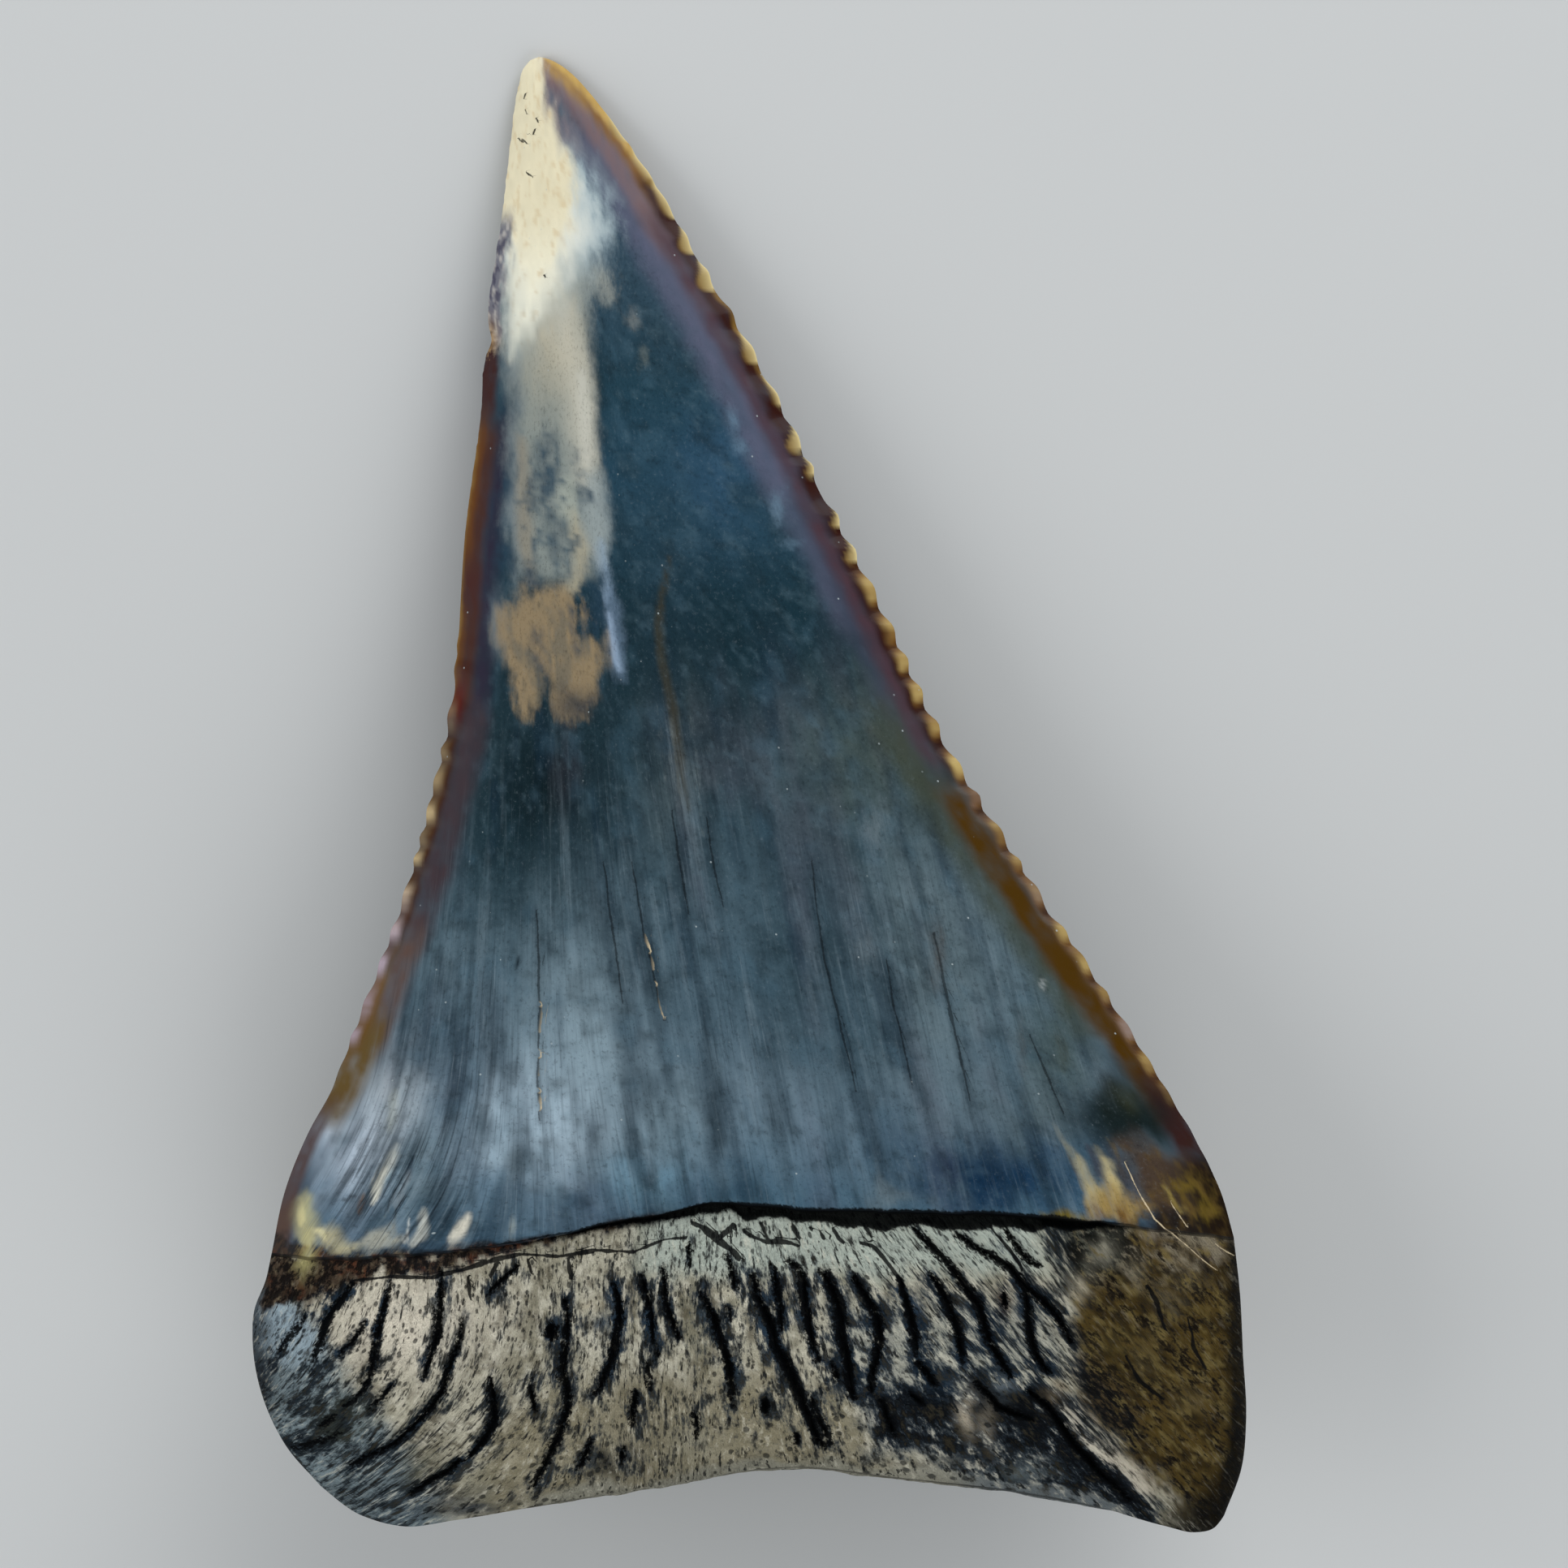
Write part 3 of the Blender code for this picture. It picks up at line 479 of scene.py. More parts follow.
def edge_offsets(v):
    """How far the knobs and notches move the left and right cutting edges outwards."""
    left_y, right_y = left_blade.at(v)[..., 1], right_blade.at(v)[..., 1]
    left = np.interp(left_y, *zip(*LEFT_NOTCHES)) * (knob(left_y, LEFT_KNOBS) - 0.5)
    right = np.interp(right_y, *zip(*RIGHT_NOTCHES)) * (knob(right_y, RIGHT_KNOBS) - 0.5)
    chip = CHIP_DEPTH * np.exp(-(((left_y - CHIP_PLACE) / (0.5 * CHIP_LENGTH)) ** 2))
    wear = 0.03 * cloud(left_y, left_y, left_y, (0.35, 0.35), 5) * ease(left_y, 30.0, 37.0)
    return left - chip + wear, right


def crests(y, depth, places, slant):
    """Knobs and the dips between them, within half a millimetre of an edge."""
    return (knob(y + slant * depth, places) - 0.5) * np.exp(-((depth - 0.25) / 0.3) ** 2)


def knob_relief(y, u, v):
    """How far the knobs stand out of a face near its two edges, with dips between them."""
    down = np.clip(v, 0.0, 1.0)
    width = right_blade.at(down)[..., 0] - left_blade.at(down)[..., 0]
    left = crests(y, u * width, LEFT_KNOBS, LEFT_SLANT)
    right = crests(y, (1.0 - u) * width, RIGHT_KNOBS, RIGHT_SLANT)
    left = left * ease(y, 15.0, 18.0) * (1.0 - ease(y, 27.0, 29.0))
    right = right * ease(y, 13.0, 17.0) * (1.0 - 0.7 * ease(y, 28.0, 36.0) - 0.3 * ease(y, 43.0, 46.0))
    return KNOB_RELIEF * (left + right) * (v < 1.0)


def foot_line(x, labial):
    """Height y of the enamel's lower edge, which is a little uneven."""
    line = profile(LABIAL_FOOT if labial else LINGUAL_FOOT, x)
    inside = ease(x, LEFT_FOOT[0], LEFT_FOOT[0] + 1.0) * ease(-x, -RIGHT_FOOT[0], 1.0 - RIGHT_FOOT[0])
    side = np.full(x.shape, 9.0 if labial else 3.0)
    return line + FOOT_WOBBLE * inside * cloud(x, side, side, (0.8, 0.8), 11)


def crown_plan(u, v, labial):
    """x and y of the crown's points: rows run straight at the tip and follow the foot below."""
    left, right = left_blade.at(v), right_blade.at(v)
    points = (1 - u) * left + u * right
    foot_x = (1 - u[..., 0]) * LEFT_FOOT[0] + u[..., 0] * RIGHT_FOOT[0]
    chord = (1 - u[..., 0]) * LEFT_FOOT[1] + u[..., 0] * RIGHT_FOOT[1]
    points[..., 1] += ease(v, 0.5, 1.0) * (foot_line(foot_x, labial) - chord)
    width = np.linalg.norm(right - left, axis=-1)
    left_offset, right_offset = edge_offsets(v)
    left_fade = np.exp(-((u[..., 0] * width / 0.5) ** 2))
    right_fade = np.exp(-(((1 - u[..., 0]) * width / 0.5) ** 2))
    points += (left_offset * left_fade)[..., None] * left_blade.outward(v, -1)
    return points + (right_offset * right_fade)[..., None] * right_blade.outward(v, 1)


def root_plan(u, t, labial):
    """x and y of the root's points, a patch between the crown's foot, the sides and the base."""
    foot_x = (1 - u[..., 0]) * LEFT_FOOT[0] + u[..., 0] * RIGHT_FOOT[0]
    top = np.stack([foot_x, foot_line(foot_x, labial)], axis=-1)
    bottom = base_line.at(u[..., 0])
    left, right = left_side.at(t[..., 0]), right_side.at(t[..., 0])
    corners = ((1 - u) * (1 - t) * np.array(LEFT_FOOT) + u * (1 - t) * np.array(RIGHT_FOOT)
               + (1 - u) * t * np.array(LEFT_BASE) + u * t * np.array(RIGHT_BASE))
    return (1 - t) * top + t * bottom + (1 - u) * left + u * right - corners


def section(u, v, flatness, roundness):
    """Share of a side's full height: whole in the middle, nothing at the edges, less at the base."""
    across = np.abs(2.0 * u - 1.0)
    rooted = ease(v, 0.92, 1.15)
    power = flatness[0] + (flatness[1] - flatness[0]) * rooted
    bend = 1.0 + (roundness - 1.0) * rooted
    side = (1.0 - across**power) ** bend
    closing = (1.0 - (BASE_CLOSING * np.clip(v - 1.0, 0.0, 1.0)) ** 8) ** 0.4
    return side * closing


def surface(u, v, labial):
    """Points of one side of the tooth in the face's frame, before its fine relief."""
    share_u, share_v = u[..., None], v[..., None]
    plan = np.where(share_v <= 1.0, crown_plan(share_u, np.clip(v, 0.0, 1.0), labial),
                    root_plan(share_u, np.clip(share_v - 1.0, 0.0, 1.0), labial))
    if labial:
        height = profile(LABIAL_RISE, v) * section(u, v, (2.6, 7.0), 0.5)
    else:
        height = -profile(LINGUAL_DEPTH, plan[..., 1]) * section(u, v, (1.9, 2.6), 0.55)
    lean = -TIP_LEAN * np.clip(1.0 - v, 0.0, 1.0) ** 1.6
    return np.concatenate([plan, (height + lean)[..., None]], axis=-1)


def root_fibre(x, below):
    """Place across the foot where the fibre through a point of the root starts."""
    low, high = x - 9.0, x + 9.0
    below = np.clip(below, 0.0, 12.0)
    for _ in range(24):
        s = 0.5 * (low + high)
        left = 0.0064 * below**3.2 * ease(-s, 4.0, 8.0) + 0.35 * below * ease(-s, 9.5, 12.5)
        right = 0.5 * below**1.15 * ease(s, 0.5, 5.0) + 0.2 * below * ease(s, -1.5, 0.5)
        past = s - left + right > x
        low, high = np.where(past, low, s), np.where(past, s, high)
    return 0.5 * (low + high)


def crown_fibre(x, y):
    """Place across the blade of the streak that runs through a point of the crown."""
    slant = np.interp(x, *zip(*STREAK_SLANTS))
    spread = 0.07 * np.clip(15.0 - y, 0.0, None) ** 1.6 * ease(-x, 6.5, 12.0)
    return x - slant * (17.0 - y) + spread


def below_foot(x, y, labial):
    """Millimetres below the enamel's lower edge."""
    line = np.where(labial, foot_line(x, True), foot_line(x, False))
    return line - y


def gap_distance(x, below):
    """Distance to the edge of the gap under the enamel, which is painted black as shade, negative inside it.
    """
    width = np.interp(x, *zip(*GAP_WIDTHS)) * (1.0 + 0.5 * cloud(x, 0 * x, 0 * x, (0.6, 0.6), 13, 4))
    return np.maximum(below - width, -below)


def labial_relief(points, u, v):
    """How far the fine relief stands out of the labial face."""
    x, y, w = points[..., 0], points[..., 1], points[..., 2]
    inside = np.clip(6.0 * np.minimum(u, 1.0 - u), 0.0, 1.0)
    rooted = v > 1.0
    below = np.where(rooted, np.maximum(below_foot(x, y, True), 0.01), -1.0)
    s = np.where(rooted, root_fibre(x, below), crown_fibre(x, y))
    step = FOOT_STEP * ease(below, 0.0, 0.08)
    gap = GAP_DEPTH * ease(-gap_distance(x, below), -0.12, 0.08)
    groove = GROOVE_DEPTH * ease(-strokes_distance(x, y, ROOT_GROOVES), -0.1, 0.12)
    crack = CRACK_DEPTH * ease(-strokes_distance(x, y, ROOT_CRACKS), -0.08, 0.03)
    rough = ROOT_ROUGHNESS * (cloud(s, y, w, (0.5, 1.2), 31) + 0.6 * cloud(s, y, w, (0.18, 0.35), 35, 2))
    flutes = FLUTE_DEPTH * cloud(s, y, w, (0.6, 5.0), 41, 2) * ease(-y, -17.0, -10.0) * ~rooted
    fine = inside * (rough * rooted + flutes - step - gap - np.maximum(groove, crack) * rooted)
    return fine + knob_relief(y, u, v)


def lingual_relief(points, u, v):
    """How far the fine relief stands out of the lingual side."""
    x, y, w = points[..., 0], points[..., 1], points[..., 2]
    inside = np.clip(6.0 * np.minimum(u, 1.0 - u), 0.0, 1.0)
    rooted = v > 1.0
    below = np.where(rooted, np.maximum(below_foot(x, y, False), 0.01), -1.0)
    step = FOOT_STEP * ease(below, 0.0, 0.12)
    away = np.hypot(x - FORAMEN_PLACE[0], y - FORAMEN_PLACE[1])
    hole = FORAMEN_DEPTH * ease(FORAMEN_RADIUS - away, -0.12, 0.12)
    rough = ROOT_ROUGHNESS * (1.6 * cloud(x, y, w, (1.1, 2.2), 51) + cloud(x, y, w, (0.3, 0.8), 55, 2))
    return inside * (rough * rooted - step - hole) + knob_relief(y, u, v)


def lay_down(points):
    """From the face's frame in millimetres to the lying tooth in metres."""
    x, y, w = points[..., 0], points[..., 1], points[..., 2]
    down_y = y * math.cos(TILT) + w * math.sin(TILT)
    up_z = w * math.cos(TILT) - y * math.sin(TILT)
    return np.stack([x + SHIFT[0], down_y + SHIFT[1], up_z + LIFT], axis=-1) * MM


# Mesh

def row_places():
    """Places of the rows along v, closest together near the tip and on the root."""
    length = right_blade.length
    fine = np.arange(0.06, FINE_STRETCH, FINE_ROW)
    coarse = np.linspace(FINE_STRETCH, length, int((length - FINE_STRETCH) / COARSE_ROW))
    root = 1.0 + np.linspace(0.0, 1.0, ROOT_ROWS + 1)[1:] ** 0.98
    return np.r_[fine / length, coarse / length, root]


def column_places():
    """Places of the columns along u, closer together at the edges."""
    share = np.linspace(0.0, 1.0, COLUMNS + 1)
    crowded = 0.5 - 0.5 * np.cos(np.pi * share)
    return (1.0 - EDGE_CROWDING) * share + EDGE_CROWDING * crowded


def strides(v, labial):
    """How many columns each row skips: the rows thin out towards the tip."""
    steps = np.where(v > 0.92, 1, np.where(v > 0.45, 2, np.where(v > 0.02, 4, 8)))
    if labial:
        return steps
    return np.where(v >= 2.0, 1, np.where(v > 1.0, 2, np.where(v > 0.45, 4, 8)))


def stitch(upper, lower, upper_u, lower_u):
    """Triangles or quads between two rows of points that may differ in number."""
    if len(upper) == len(lower):
        return [(a, c, d, b) for a, b, c, d in zip(upper, upper[1:], lower, lower[1:])]
    faces = []
    i = j = 0
    while i < len(upper) - 1 or j < len(lower) - 1:
        step_up = j == len(lower) - 1 or (i < len(upper) - 1 and upper_u[i + 1] < lower_u[j + 1] - 1e-9)
        if step_up:
            faces.append((upper[i], lower[j], upper[i + 1]))
            i += 1
        else:
            faces.append((upper[i], lower[j], lower[j + 1]))
            j += 1
    return faces


def side_faces(index, v, u, labial):
    """Faces of one side, from the grid of its points' numbers."""
    faces = []
    steps = strides(v, labial)
    for row in range(len(v) - 1):
        a, b = steps[row], steps[row + 1]
        faces += stitch(index[row, ::a].tolist(), index[row + 1, ::b].tolist(), u[::a], u[::b])
    return faces if labial else [face[::-1] for face in faces]


def base_strip(outer, inner, first):
    """Rows of points and faces that close the base between the two sides' last rows."""
    points, faces = [], []
    share = np.linspace(0.0, 1.0, BASE_ROWS + 2)[1:-1]
    ends = ease(np.sin(np.linspace(0.0, np.pi, len(outer[0]))), 0.0, 0.35)
    rows = [outer[0]]
    for s in share:
        strip = (1 - s) * outer[1] + s * inner[1]
        roomy = ease(strip[:, 1], 0.3, 1.2) * np.sin(np.pi * s) * ends
        rough = cloud(strip[:, 0], strip[:, 1], strip[:, 2], (0.7, 0.7), 21)
        strip[:, 1] -= roomy * (BASE_BULGE + 0.08 * rough)
        points.append(strip[1:-1])
        middle = first + np.arange(len(strip) - 2)
        first += len(strip) - 2
        rows.append(np.r_[outer[0][0], middle, outer[0][-1]])
    rows.append(inner[0])
    for upper, lower in zip(rows, rows[1:]):
        for a, b, c, d in zip(upper, upper[1:], lower, lower[1:]):
            faces.append(tuple(dict.fromkeys((int(a), int(c), int(d), int(b)))))
    return np.concatenate(points), faces


def tooth_shape():
    """Points, faces and the places u, v and side (1 labial, 0 lingual) of the whole tooth."""
    u, v = column_places(), row_places()
    grid_u, grid_v = np.meshgrid(u, v)
    labial = surface(grid_u, grid_v, True)
    lingual = surface(grid_u, grid_v, False)
    labial[..., 2] += labial_relief(labial, grid_u, grid_v)
    lingual[..., 2] -= lingual_relief(lingual, grid_u, grid_v)
    rows, columns = grid_u.shape
    outer = np.arange(rows * columns).reshape(rows, columns)
    inner = outer + rows * columns
    inner[:, 0], inner[:, -1] = outer[:, 0], outer[:, -1]
    apex = 2 * rows * columns
    strip_points, strip_faces = base_strip((outer[-1], labial[-1]), (inner[-1], lingual[-1]), apex + 1)
    points = np.concatenate([labial.reshape(-1, 3), lingual.reshape(-1, 3),
                             [[TIP[0], TIP[1], -TIP_LEAN]], strip_points])
    strip_u = np.tile(u[1:-1], BASE_ROWS)
    place_u = np.r_[grid_u.ravel(), grid_u.ravel(), 0.5, strip_u]
    place_v = np.r_[grid_v.ravel(), grid_v.ravel(), 0.0, np.full(len(strip_u), 2.0)]
    side = np.r_[np.ones(rows * columns), np.zeros(rows * columns), 1.0, np.full(len(strip_u), 0.5)]
    faces = side_faces(outer, v, u, True) + side_faces(inner, v, u, False) + strip_faces
    step_out, step_in = strides(v, True)[0], strides(v, False)[0]
    faces += [(apex, a, b) for a, b in zip(outer[0, ::step_out].tolist(), outer[0, ::step_out][1:].tolist())]
    faces += [(apex, b, a) for a, b in zip(inner[0, ::step_in].tolist(), inner[0, ::step_in][1:].tolist())]
    return points, faces, place_u, place_v, side


# Colours

def rgb(red, green, blue):
    """A linear colour from screen values of 0 to 255."""
    value = np.array((red, green, blue)) / 255.0
    return np.where(value <= 0.04045, value / 12.92, ((value + 0.055) / 1.055) ** 2.4)


IVORY = rgb(213, 205, 176)
IVORY_LOW = rgb(228, 226, 206)
PALE_HAZE = rgb(208, 211, 202)
BLUE_HAZE = rgb(150, 168, 175)
GOLD = rgb(176, 146, 84)
AMBER = rgb(112, 76, 26)
PLUM_GREY = rgb(104, 84, 86)
PURPLE = rgb(80, 84, 104)
DUSK = rgb(60, 62, 80)
MAROON = rgb(44, 15, 8)
PLUM = rgb(66, 46, 54)
KNOB_CREAM = rgb(172, 150, 94)
OLIVE = rgb(66, 43, 0)
OLIVE_GREY = rgb(56, 62, 50)
INK_PURPLE = rgb(38, 34, 50)
TAN = rgb(132, 116, 90)
GHOST_GREY = rgb(124, 132, 128)
RIDGE_CREAM = rgb(186, 182, 166)
NAVY = rgb(13, 45, 72)
CREAM = rgb(178, 174, 155)
BLACK_BLUE = rgb(16, 22, 26)

# The brown end of the root, at the right
BROWN_END = ((9.9, 9.9), (10.3, 8.0), (10.1, 7.3), (10.4, 6.2), (10.5, 5.0), (10.7, 4.1), (11.1, 3.4),
             (11.9, 2.7), (12.7, 2.2), (13.3, 1.4), (15.5, -1.0), (16.8, 5.0), (16.5, 10.0), (12.0, 10.2))
# Zones of the root: (outline, softness, upper colour, lower colour, cover of the upper, strength)
ROOT_ZONES = (
    (((-8.5, -1.0), (-8.0, 3.8), (-5.0, 5.0), (0.5, 5.4), (3.5, 4.6), (4.6, 2.4), (5.0, -1.0)), 1.6,
     rgb(128, 121, 98), rgb(30, 31, 28), 0.76, 0.8),
    (((-16.5, 8.4), (-14.4, 7.5), (-13.4, 6.2), (-12.6, 4.8), (-11.4, 3.2), (-10.2, 1.6), (-9.5, -1.0),
      (-16.5, -1.0)), 1.2, rgb(122, 138, 144), rgb(24, 32, 38), 0.52, 0.95),
    (((-16.5, 7.6), (-14.4, 7.4), (-13.4, 6.0), (-14.2, 5.4), (-16.5, 5.6)), 0.8,
     rgb(150, 168, 178), rgb(28, 38, 46), 0.86, 0.9),
    (((3.2, 4.9), (5.2, 5.2), (8.6, 4.8), (10.4, 4.4), (11.4, 3.0), (12.2, 1.7), (13.0, 1.0), (13.0, -1.0),
      (7.6, -1.0), (6.6, 1.9), (3.8, 2.6)), 1.0,
     rgb(120, 122, 116), rgb(5, 8, 12), 0.34, 0.97),
    (((2.6, 7.6), (9.6, 7.4), (10.2, 5.4), (7.0, 4.6), (3.0, 4.6)), 1.4,
     rgb(150, 152, 142), rgb(18, 32, 44), 0.6, 0.8),
    (BROWN_END, 0.7, rgb(79, 64, 29), rgb(22, 15, 5), 0.62, 1.0),
    (((10.3, 5.8), (11.0, 5.4), (12.4, 4.2), (12.6, 3.0), (11.9, 2.9), (10.9, 3.6), (10.4, 4.6)), 0.8,
     rgb(74, 62, 42), rgb(12, 12, 12), 0.4, 0.95),
    (((9.9, 3.9), (10.4, 3.7), (11.0, 3.0), (11.8, 2.5), (12.5, 2.2), (12.9, 1.6), (12.2, 1.5), (11.2, 2.1),
      (10.4, 2.9)), 0.6, rgb(196, 188, 170), rgb(24, 24, 26), 0.8, 0.95),
    (((9.2, 10.2), (12.2, 10.2), (11.8, 8.6), (9.9, 7.9)), 0.8,
     rgb(96, 98, 86), rgb(10, 13, 10), 0.36, 0.95),
)
# Grey and dark blotches of the root: (x, y, half width, half height, colour, strength)
ROOT_SPOTS = (
    (11.2, 9.0, 0.4, 0.4, rgb(134, 131, 116), 0.85),
    (10.4, 7.95, 0.4, 0.4, rgb(168, 160, 138), 0.85),
    (12.3, 8.5, 0.3, 0.45, rgb(112, 106, 88), 0.6),
    (13.7, 8.8, 0.45, 0.4, rgb(118, 106, 84), 0.7),
    (14.4, 9.4, 0.35, 0.3, rgb(104, 96, 80), 0.6),
    (11.7, 8.2, 0.2, 0.5, rgb(14, 14, 10), 0.8),
    (12.9, 9.3, 0.3, 0.35, rgb(36, 22, 14), 0.8),
    (13.3, 7.4, 0.45, 0.5, rgb(112, 104, 84), 0.5),
    (14.2, 8.2, 0.5, 0.3, rgb(104, 96, 78), 0.5),
    (12.6, 5.6, 0.4, 0.6, rgb(104, 92, 60), 0.5),
    (14.0, 4.2, 0.6, 0.4, rgb(98, 86, 56), 0.5),
    (-4.6, 6.7, 0.3, 0.35, rgb(52, 72, 90), 0.7),
    (-6.3, 6.5, 0.3, 0.3, rgb(50, 70, 86), 0.8),
    (-5.0, 7.3, 0.4, 0.2, rgb(168, 156, 128), 0.4),
    (-4.8, 2.2, 0.6, 0.65, rgb(12, 16, 18), 0.85),
    (-3.6, 2.6, 0.35, 0.4, rgb(12, 16, 18), 0.6),
    (-1.5, 7.6, 0.3, 0.3, rgb(16, 22, 28), 0.8),
    (-1.7, 2.8, 1.0, 0.6, rgb(158, 154, 134), 0.6),
    (-9.5, 7.0, 1.0, 0.7, rgb(214, 208, 190), 0.35),
    (8.1, 7.5, 0.25, 0.4, rgb(66, 48, 34), 0.8),
    (5.3, 7.4, 0.25, 0.45, rgb(40, 58, 76), 0.7),
    (8.6, 7.3, 0.2, 0.4, rgb(40, 58, 76), 0.7),
    (7.1, 2.4, 0.8, 0.45, rgb(10, 14, 18), 0.8),
    (-12.7, 3.8, 1.0, 0.8, rgb(66, 66, 44), 0.45),
    (-15.6, 4.9, 0.7, 0.9, rgb(32, 36, 40), 0.6),
    (8.1, 4.7, 0.35, 0.4, rgb(96, 106, 112), 0.6),
    (9.7, 4.5, 0.3, 0.4, rgb(128, 116, 96), 0.6),
    (6.9, 4.0, 0.25, 0.8, rgb(172, 162, 142), 0.6),
    (7.5, 3.6, 0.2, 0.7, rgb(172, 162, 142), 0.5),
    (12.8, 9.6, 0.35, 0.3, rgb(128, 118, 100), 0.8),
    (14.7, 9.0, 0.5, 0.3, rgb(120, 110, 94), 0.7),
    (10.2, 9.0, 0.5, 0.5, rgb(14, 14, 10), 0.8),
    (-10.4, 2.0, 0.8, 0.5, rgb(58, 56, 34), 0.45),
    (8.4, 1.9, 0.9, 0.3, rgb(96, 106, 108), 0.6),
    (11.6, 6.2, 0.6, 0.6, rgb(92, 80, 44), 0.5),
)

# Colour down the middle of the blade, from the tip to the foot: (y, colour). Its lighter blue-grey from about
# y 17 to 11 is partly the enamel's own colour and partly painted soft reflection.
BLADE_RAMP = ((47.4, rgb(92, 96, 108)), (41.0, rgb(48, 68, 82)), (36.0, rgb(30, 57, 70)),
              (33.0, rgb(34, 62, 78)), (29.5, rgb(22, 45, 55)), (26.0, rgb(28, 48, 56)),
              (22.0, rgb(52, 72, 82)), (16.6, rgb(78, 99, 111)), (13.5, rgb(100, 120, 133)),
              (11.0, rgb(68, 95, 112)), (8.5, rgb(54, 80, 100)))

# Soft clouds in the blade: (x, y, half width, half height, colour, strength). The pale blue-grey ones low on
# the crown are partly the enamel's own colour and partly painted soft reflection.
BLADE_CLOUDS = (
    (-7.4, 22.4, 2.4, 3.4, rgb(16, 40, 48), 0.9),
    (-6.4, 23.8, 1.8, 1.9, rgb(2, 17, 21), 0.92),
    (-5.3, 15.2, 2.0, 3.8, rgb(126, 146, 156), 0.9),
    (-2.6, 13.3, 1.6, 1.5, rgb(104, 124, 134), 0.75),
    (-6.9, 12.9, 2.0, 2.0, rgb(160, 180, 193), 0.95),
    (-9.6, 17.6, 1.0, 2.0, rgb(92, 112, 122), 0.6),
    (0.8, 16.4, 1.6, 2.2, rgb(44, 64, 76), 0.6),
    (2.7, 12.5, 1.3, 1.2, rgb(92, 115, 130), 0.6),
    (5.6, 18.4, 3.0, 4.0, rgb(90, 106, 112), 0.85),
    (1.6, 19.0, 1.7, 3.4, rgb(42, 62, 72), 0.8),
    (3.6, 16.4, 1.2, 2.6, rgb(44, 66, 78), 0.7),
    (4.6, 12.6, 1.4, 1.4, rgb(54, 76, 92), 0.7),
    (4.6, 10.9, 0.9, 0.5, rgb(104, 116, 118), 0.6),
    (8.2, 13.6, 2.4, 1.2, rgb(72, 88, 96), 0.6),
    (8.2, 11.4, 2.9, 1.1, NAVY, 0.98),
    (7.0, 11.5, 1.6, 0.9, rgb(6, 36, 60), 0.85),
    (-3.2, 11.2, 1.2, 0.6, rgb(108, 142, 160), 0.75),
    (-0.6, 11.1, 1.2, 0.6, rgb(40, 68, 86), 0.6),
    (-1.9, 16.8, 1.2, 1.6, rgb(56, 76, 88), 0.5),
    (9.4, 13.3, 1.6, 1.0, rgb(62, 76, 80), 0.6),
    (-5.2, 10.6, 1.8, 0.7, rgb(44, 72, 94), 0.6),
    (-7.7, 10.9, 1.2, 0.8, rgb(84, 108, 126), 0.7),
    (-12.7, 12.8, 1.6, 2.2, rgb(174, 188, 202), 0.95),
    (-11.5, 14.0, 1.2, 1.7, rgb(160, 170, 176), 0.85),
    (-9.4, 14.4, 1.1, 3.0, rgb(62, 82, 98), 0.6),
    (-10.5, 11.3, 1.2, 1.3, rgb(106, 126, 136), 0.8),
    (9.9, 15.4, 1.3, 1.6, rgb(54, 68, 60), 0.65),
    (12.0, 13.5, 1.5, 1.3, rgb(10, 20, 18), 0.98),
    (12.9, 12.9, 1.0, 0.8, rgb(12, 20, 16), 0.9),
    (1.6, 25.2, 1.8, 2.2, rgb(70, 88, 96), 0.6),
    (-7.4, 12.7, 0.9, 1.1, rgb(150, 172, 186), 0.5),
    (-3.2, 11.1, 0.8, 0.6, rgb(108, 144, 164), 0.5),
    (3.9, 25.0, 2.0, 2.6, rgb(66, 78, 74), 0.75),
    (0.9, 29.0, 2.6, 2.0, rgb(16, 42, 52), 0.75),
    (-2.2, 27.4, 2.6, 2.4, rgb(18, 38, 46), 0.6),
    (-2.3, 24.2, 1.0, 2.4, rgb(88, 100, 102), 0.5),
    (-0.9, 34.0, 1.3, 2.0, rgb(44, 74, 98), 0.7),
    (-2.6, 31.5, 1.3, 2.0, rgb(34, 58, 72), 0.6),
)
# Small marks of the upper blade: (x, y, half width, half height, colour, strength)
BLADE_SPOTS = (
    (-0.5, 35.6, 0.22, 0.6, rgb(92, 118, 138), 0.6),
    (-0.25, 34.6, 0.35, 0.3, rgb(92, 118, 138), 0.55),
    (0.9, 32.8, 0.3, 0.6, rgb(92, 116, 134), 0.6),
    (1.35, 31.7, 0.45, 0.25, rgb(88, 112, 130), 0.5),
    (-4.8, 40.0, 0.5, 0.55, rgb(152, 155, 146), 0.55),
    (-4.5, 39.5, 0.3, 0.4, rgb(132, 136, 130), 0.5),
    (-3.8, 38.8, 0.3, 0.4, rgb(108, 113, 112), 0.6),
    (-3.43, 37.5, 0.2, 0.5, rgb(98, 106, 102), 0.55),
    (9.5, 17.4, 0.15, 0.15, rgb(150, 158, 158), 0.7),
    (6.0, 18.6, 0.35, 1.6, rgb(70, 66, 62), 0.5),
    (8.7, 15.3, 0.3, 1.5, rgb(60, 56, 52), 0.45),
    (9.9, 15.4, 0.3, 0.8, rgb(58, 58, 40), 0.45),
    (4.0, 22.4, 0.5, 1.1, rgb(116, 128, 134), 0.4),
    (3.6, 18.8, 0.6, 0.7, rgb(116, 128, 134), 0.35),
    (-7.5, 18.3, 0.12, 0.2, rgb(22, 34, 42), 0.8),
)
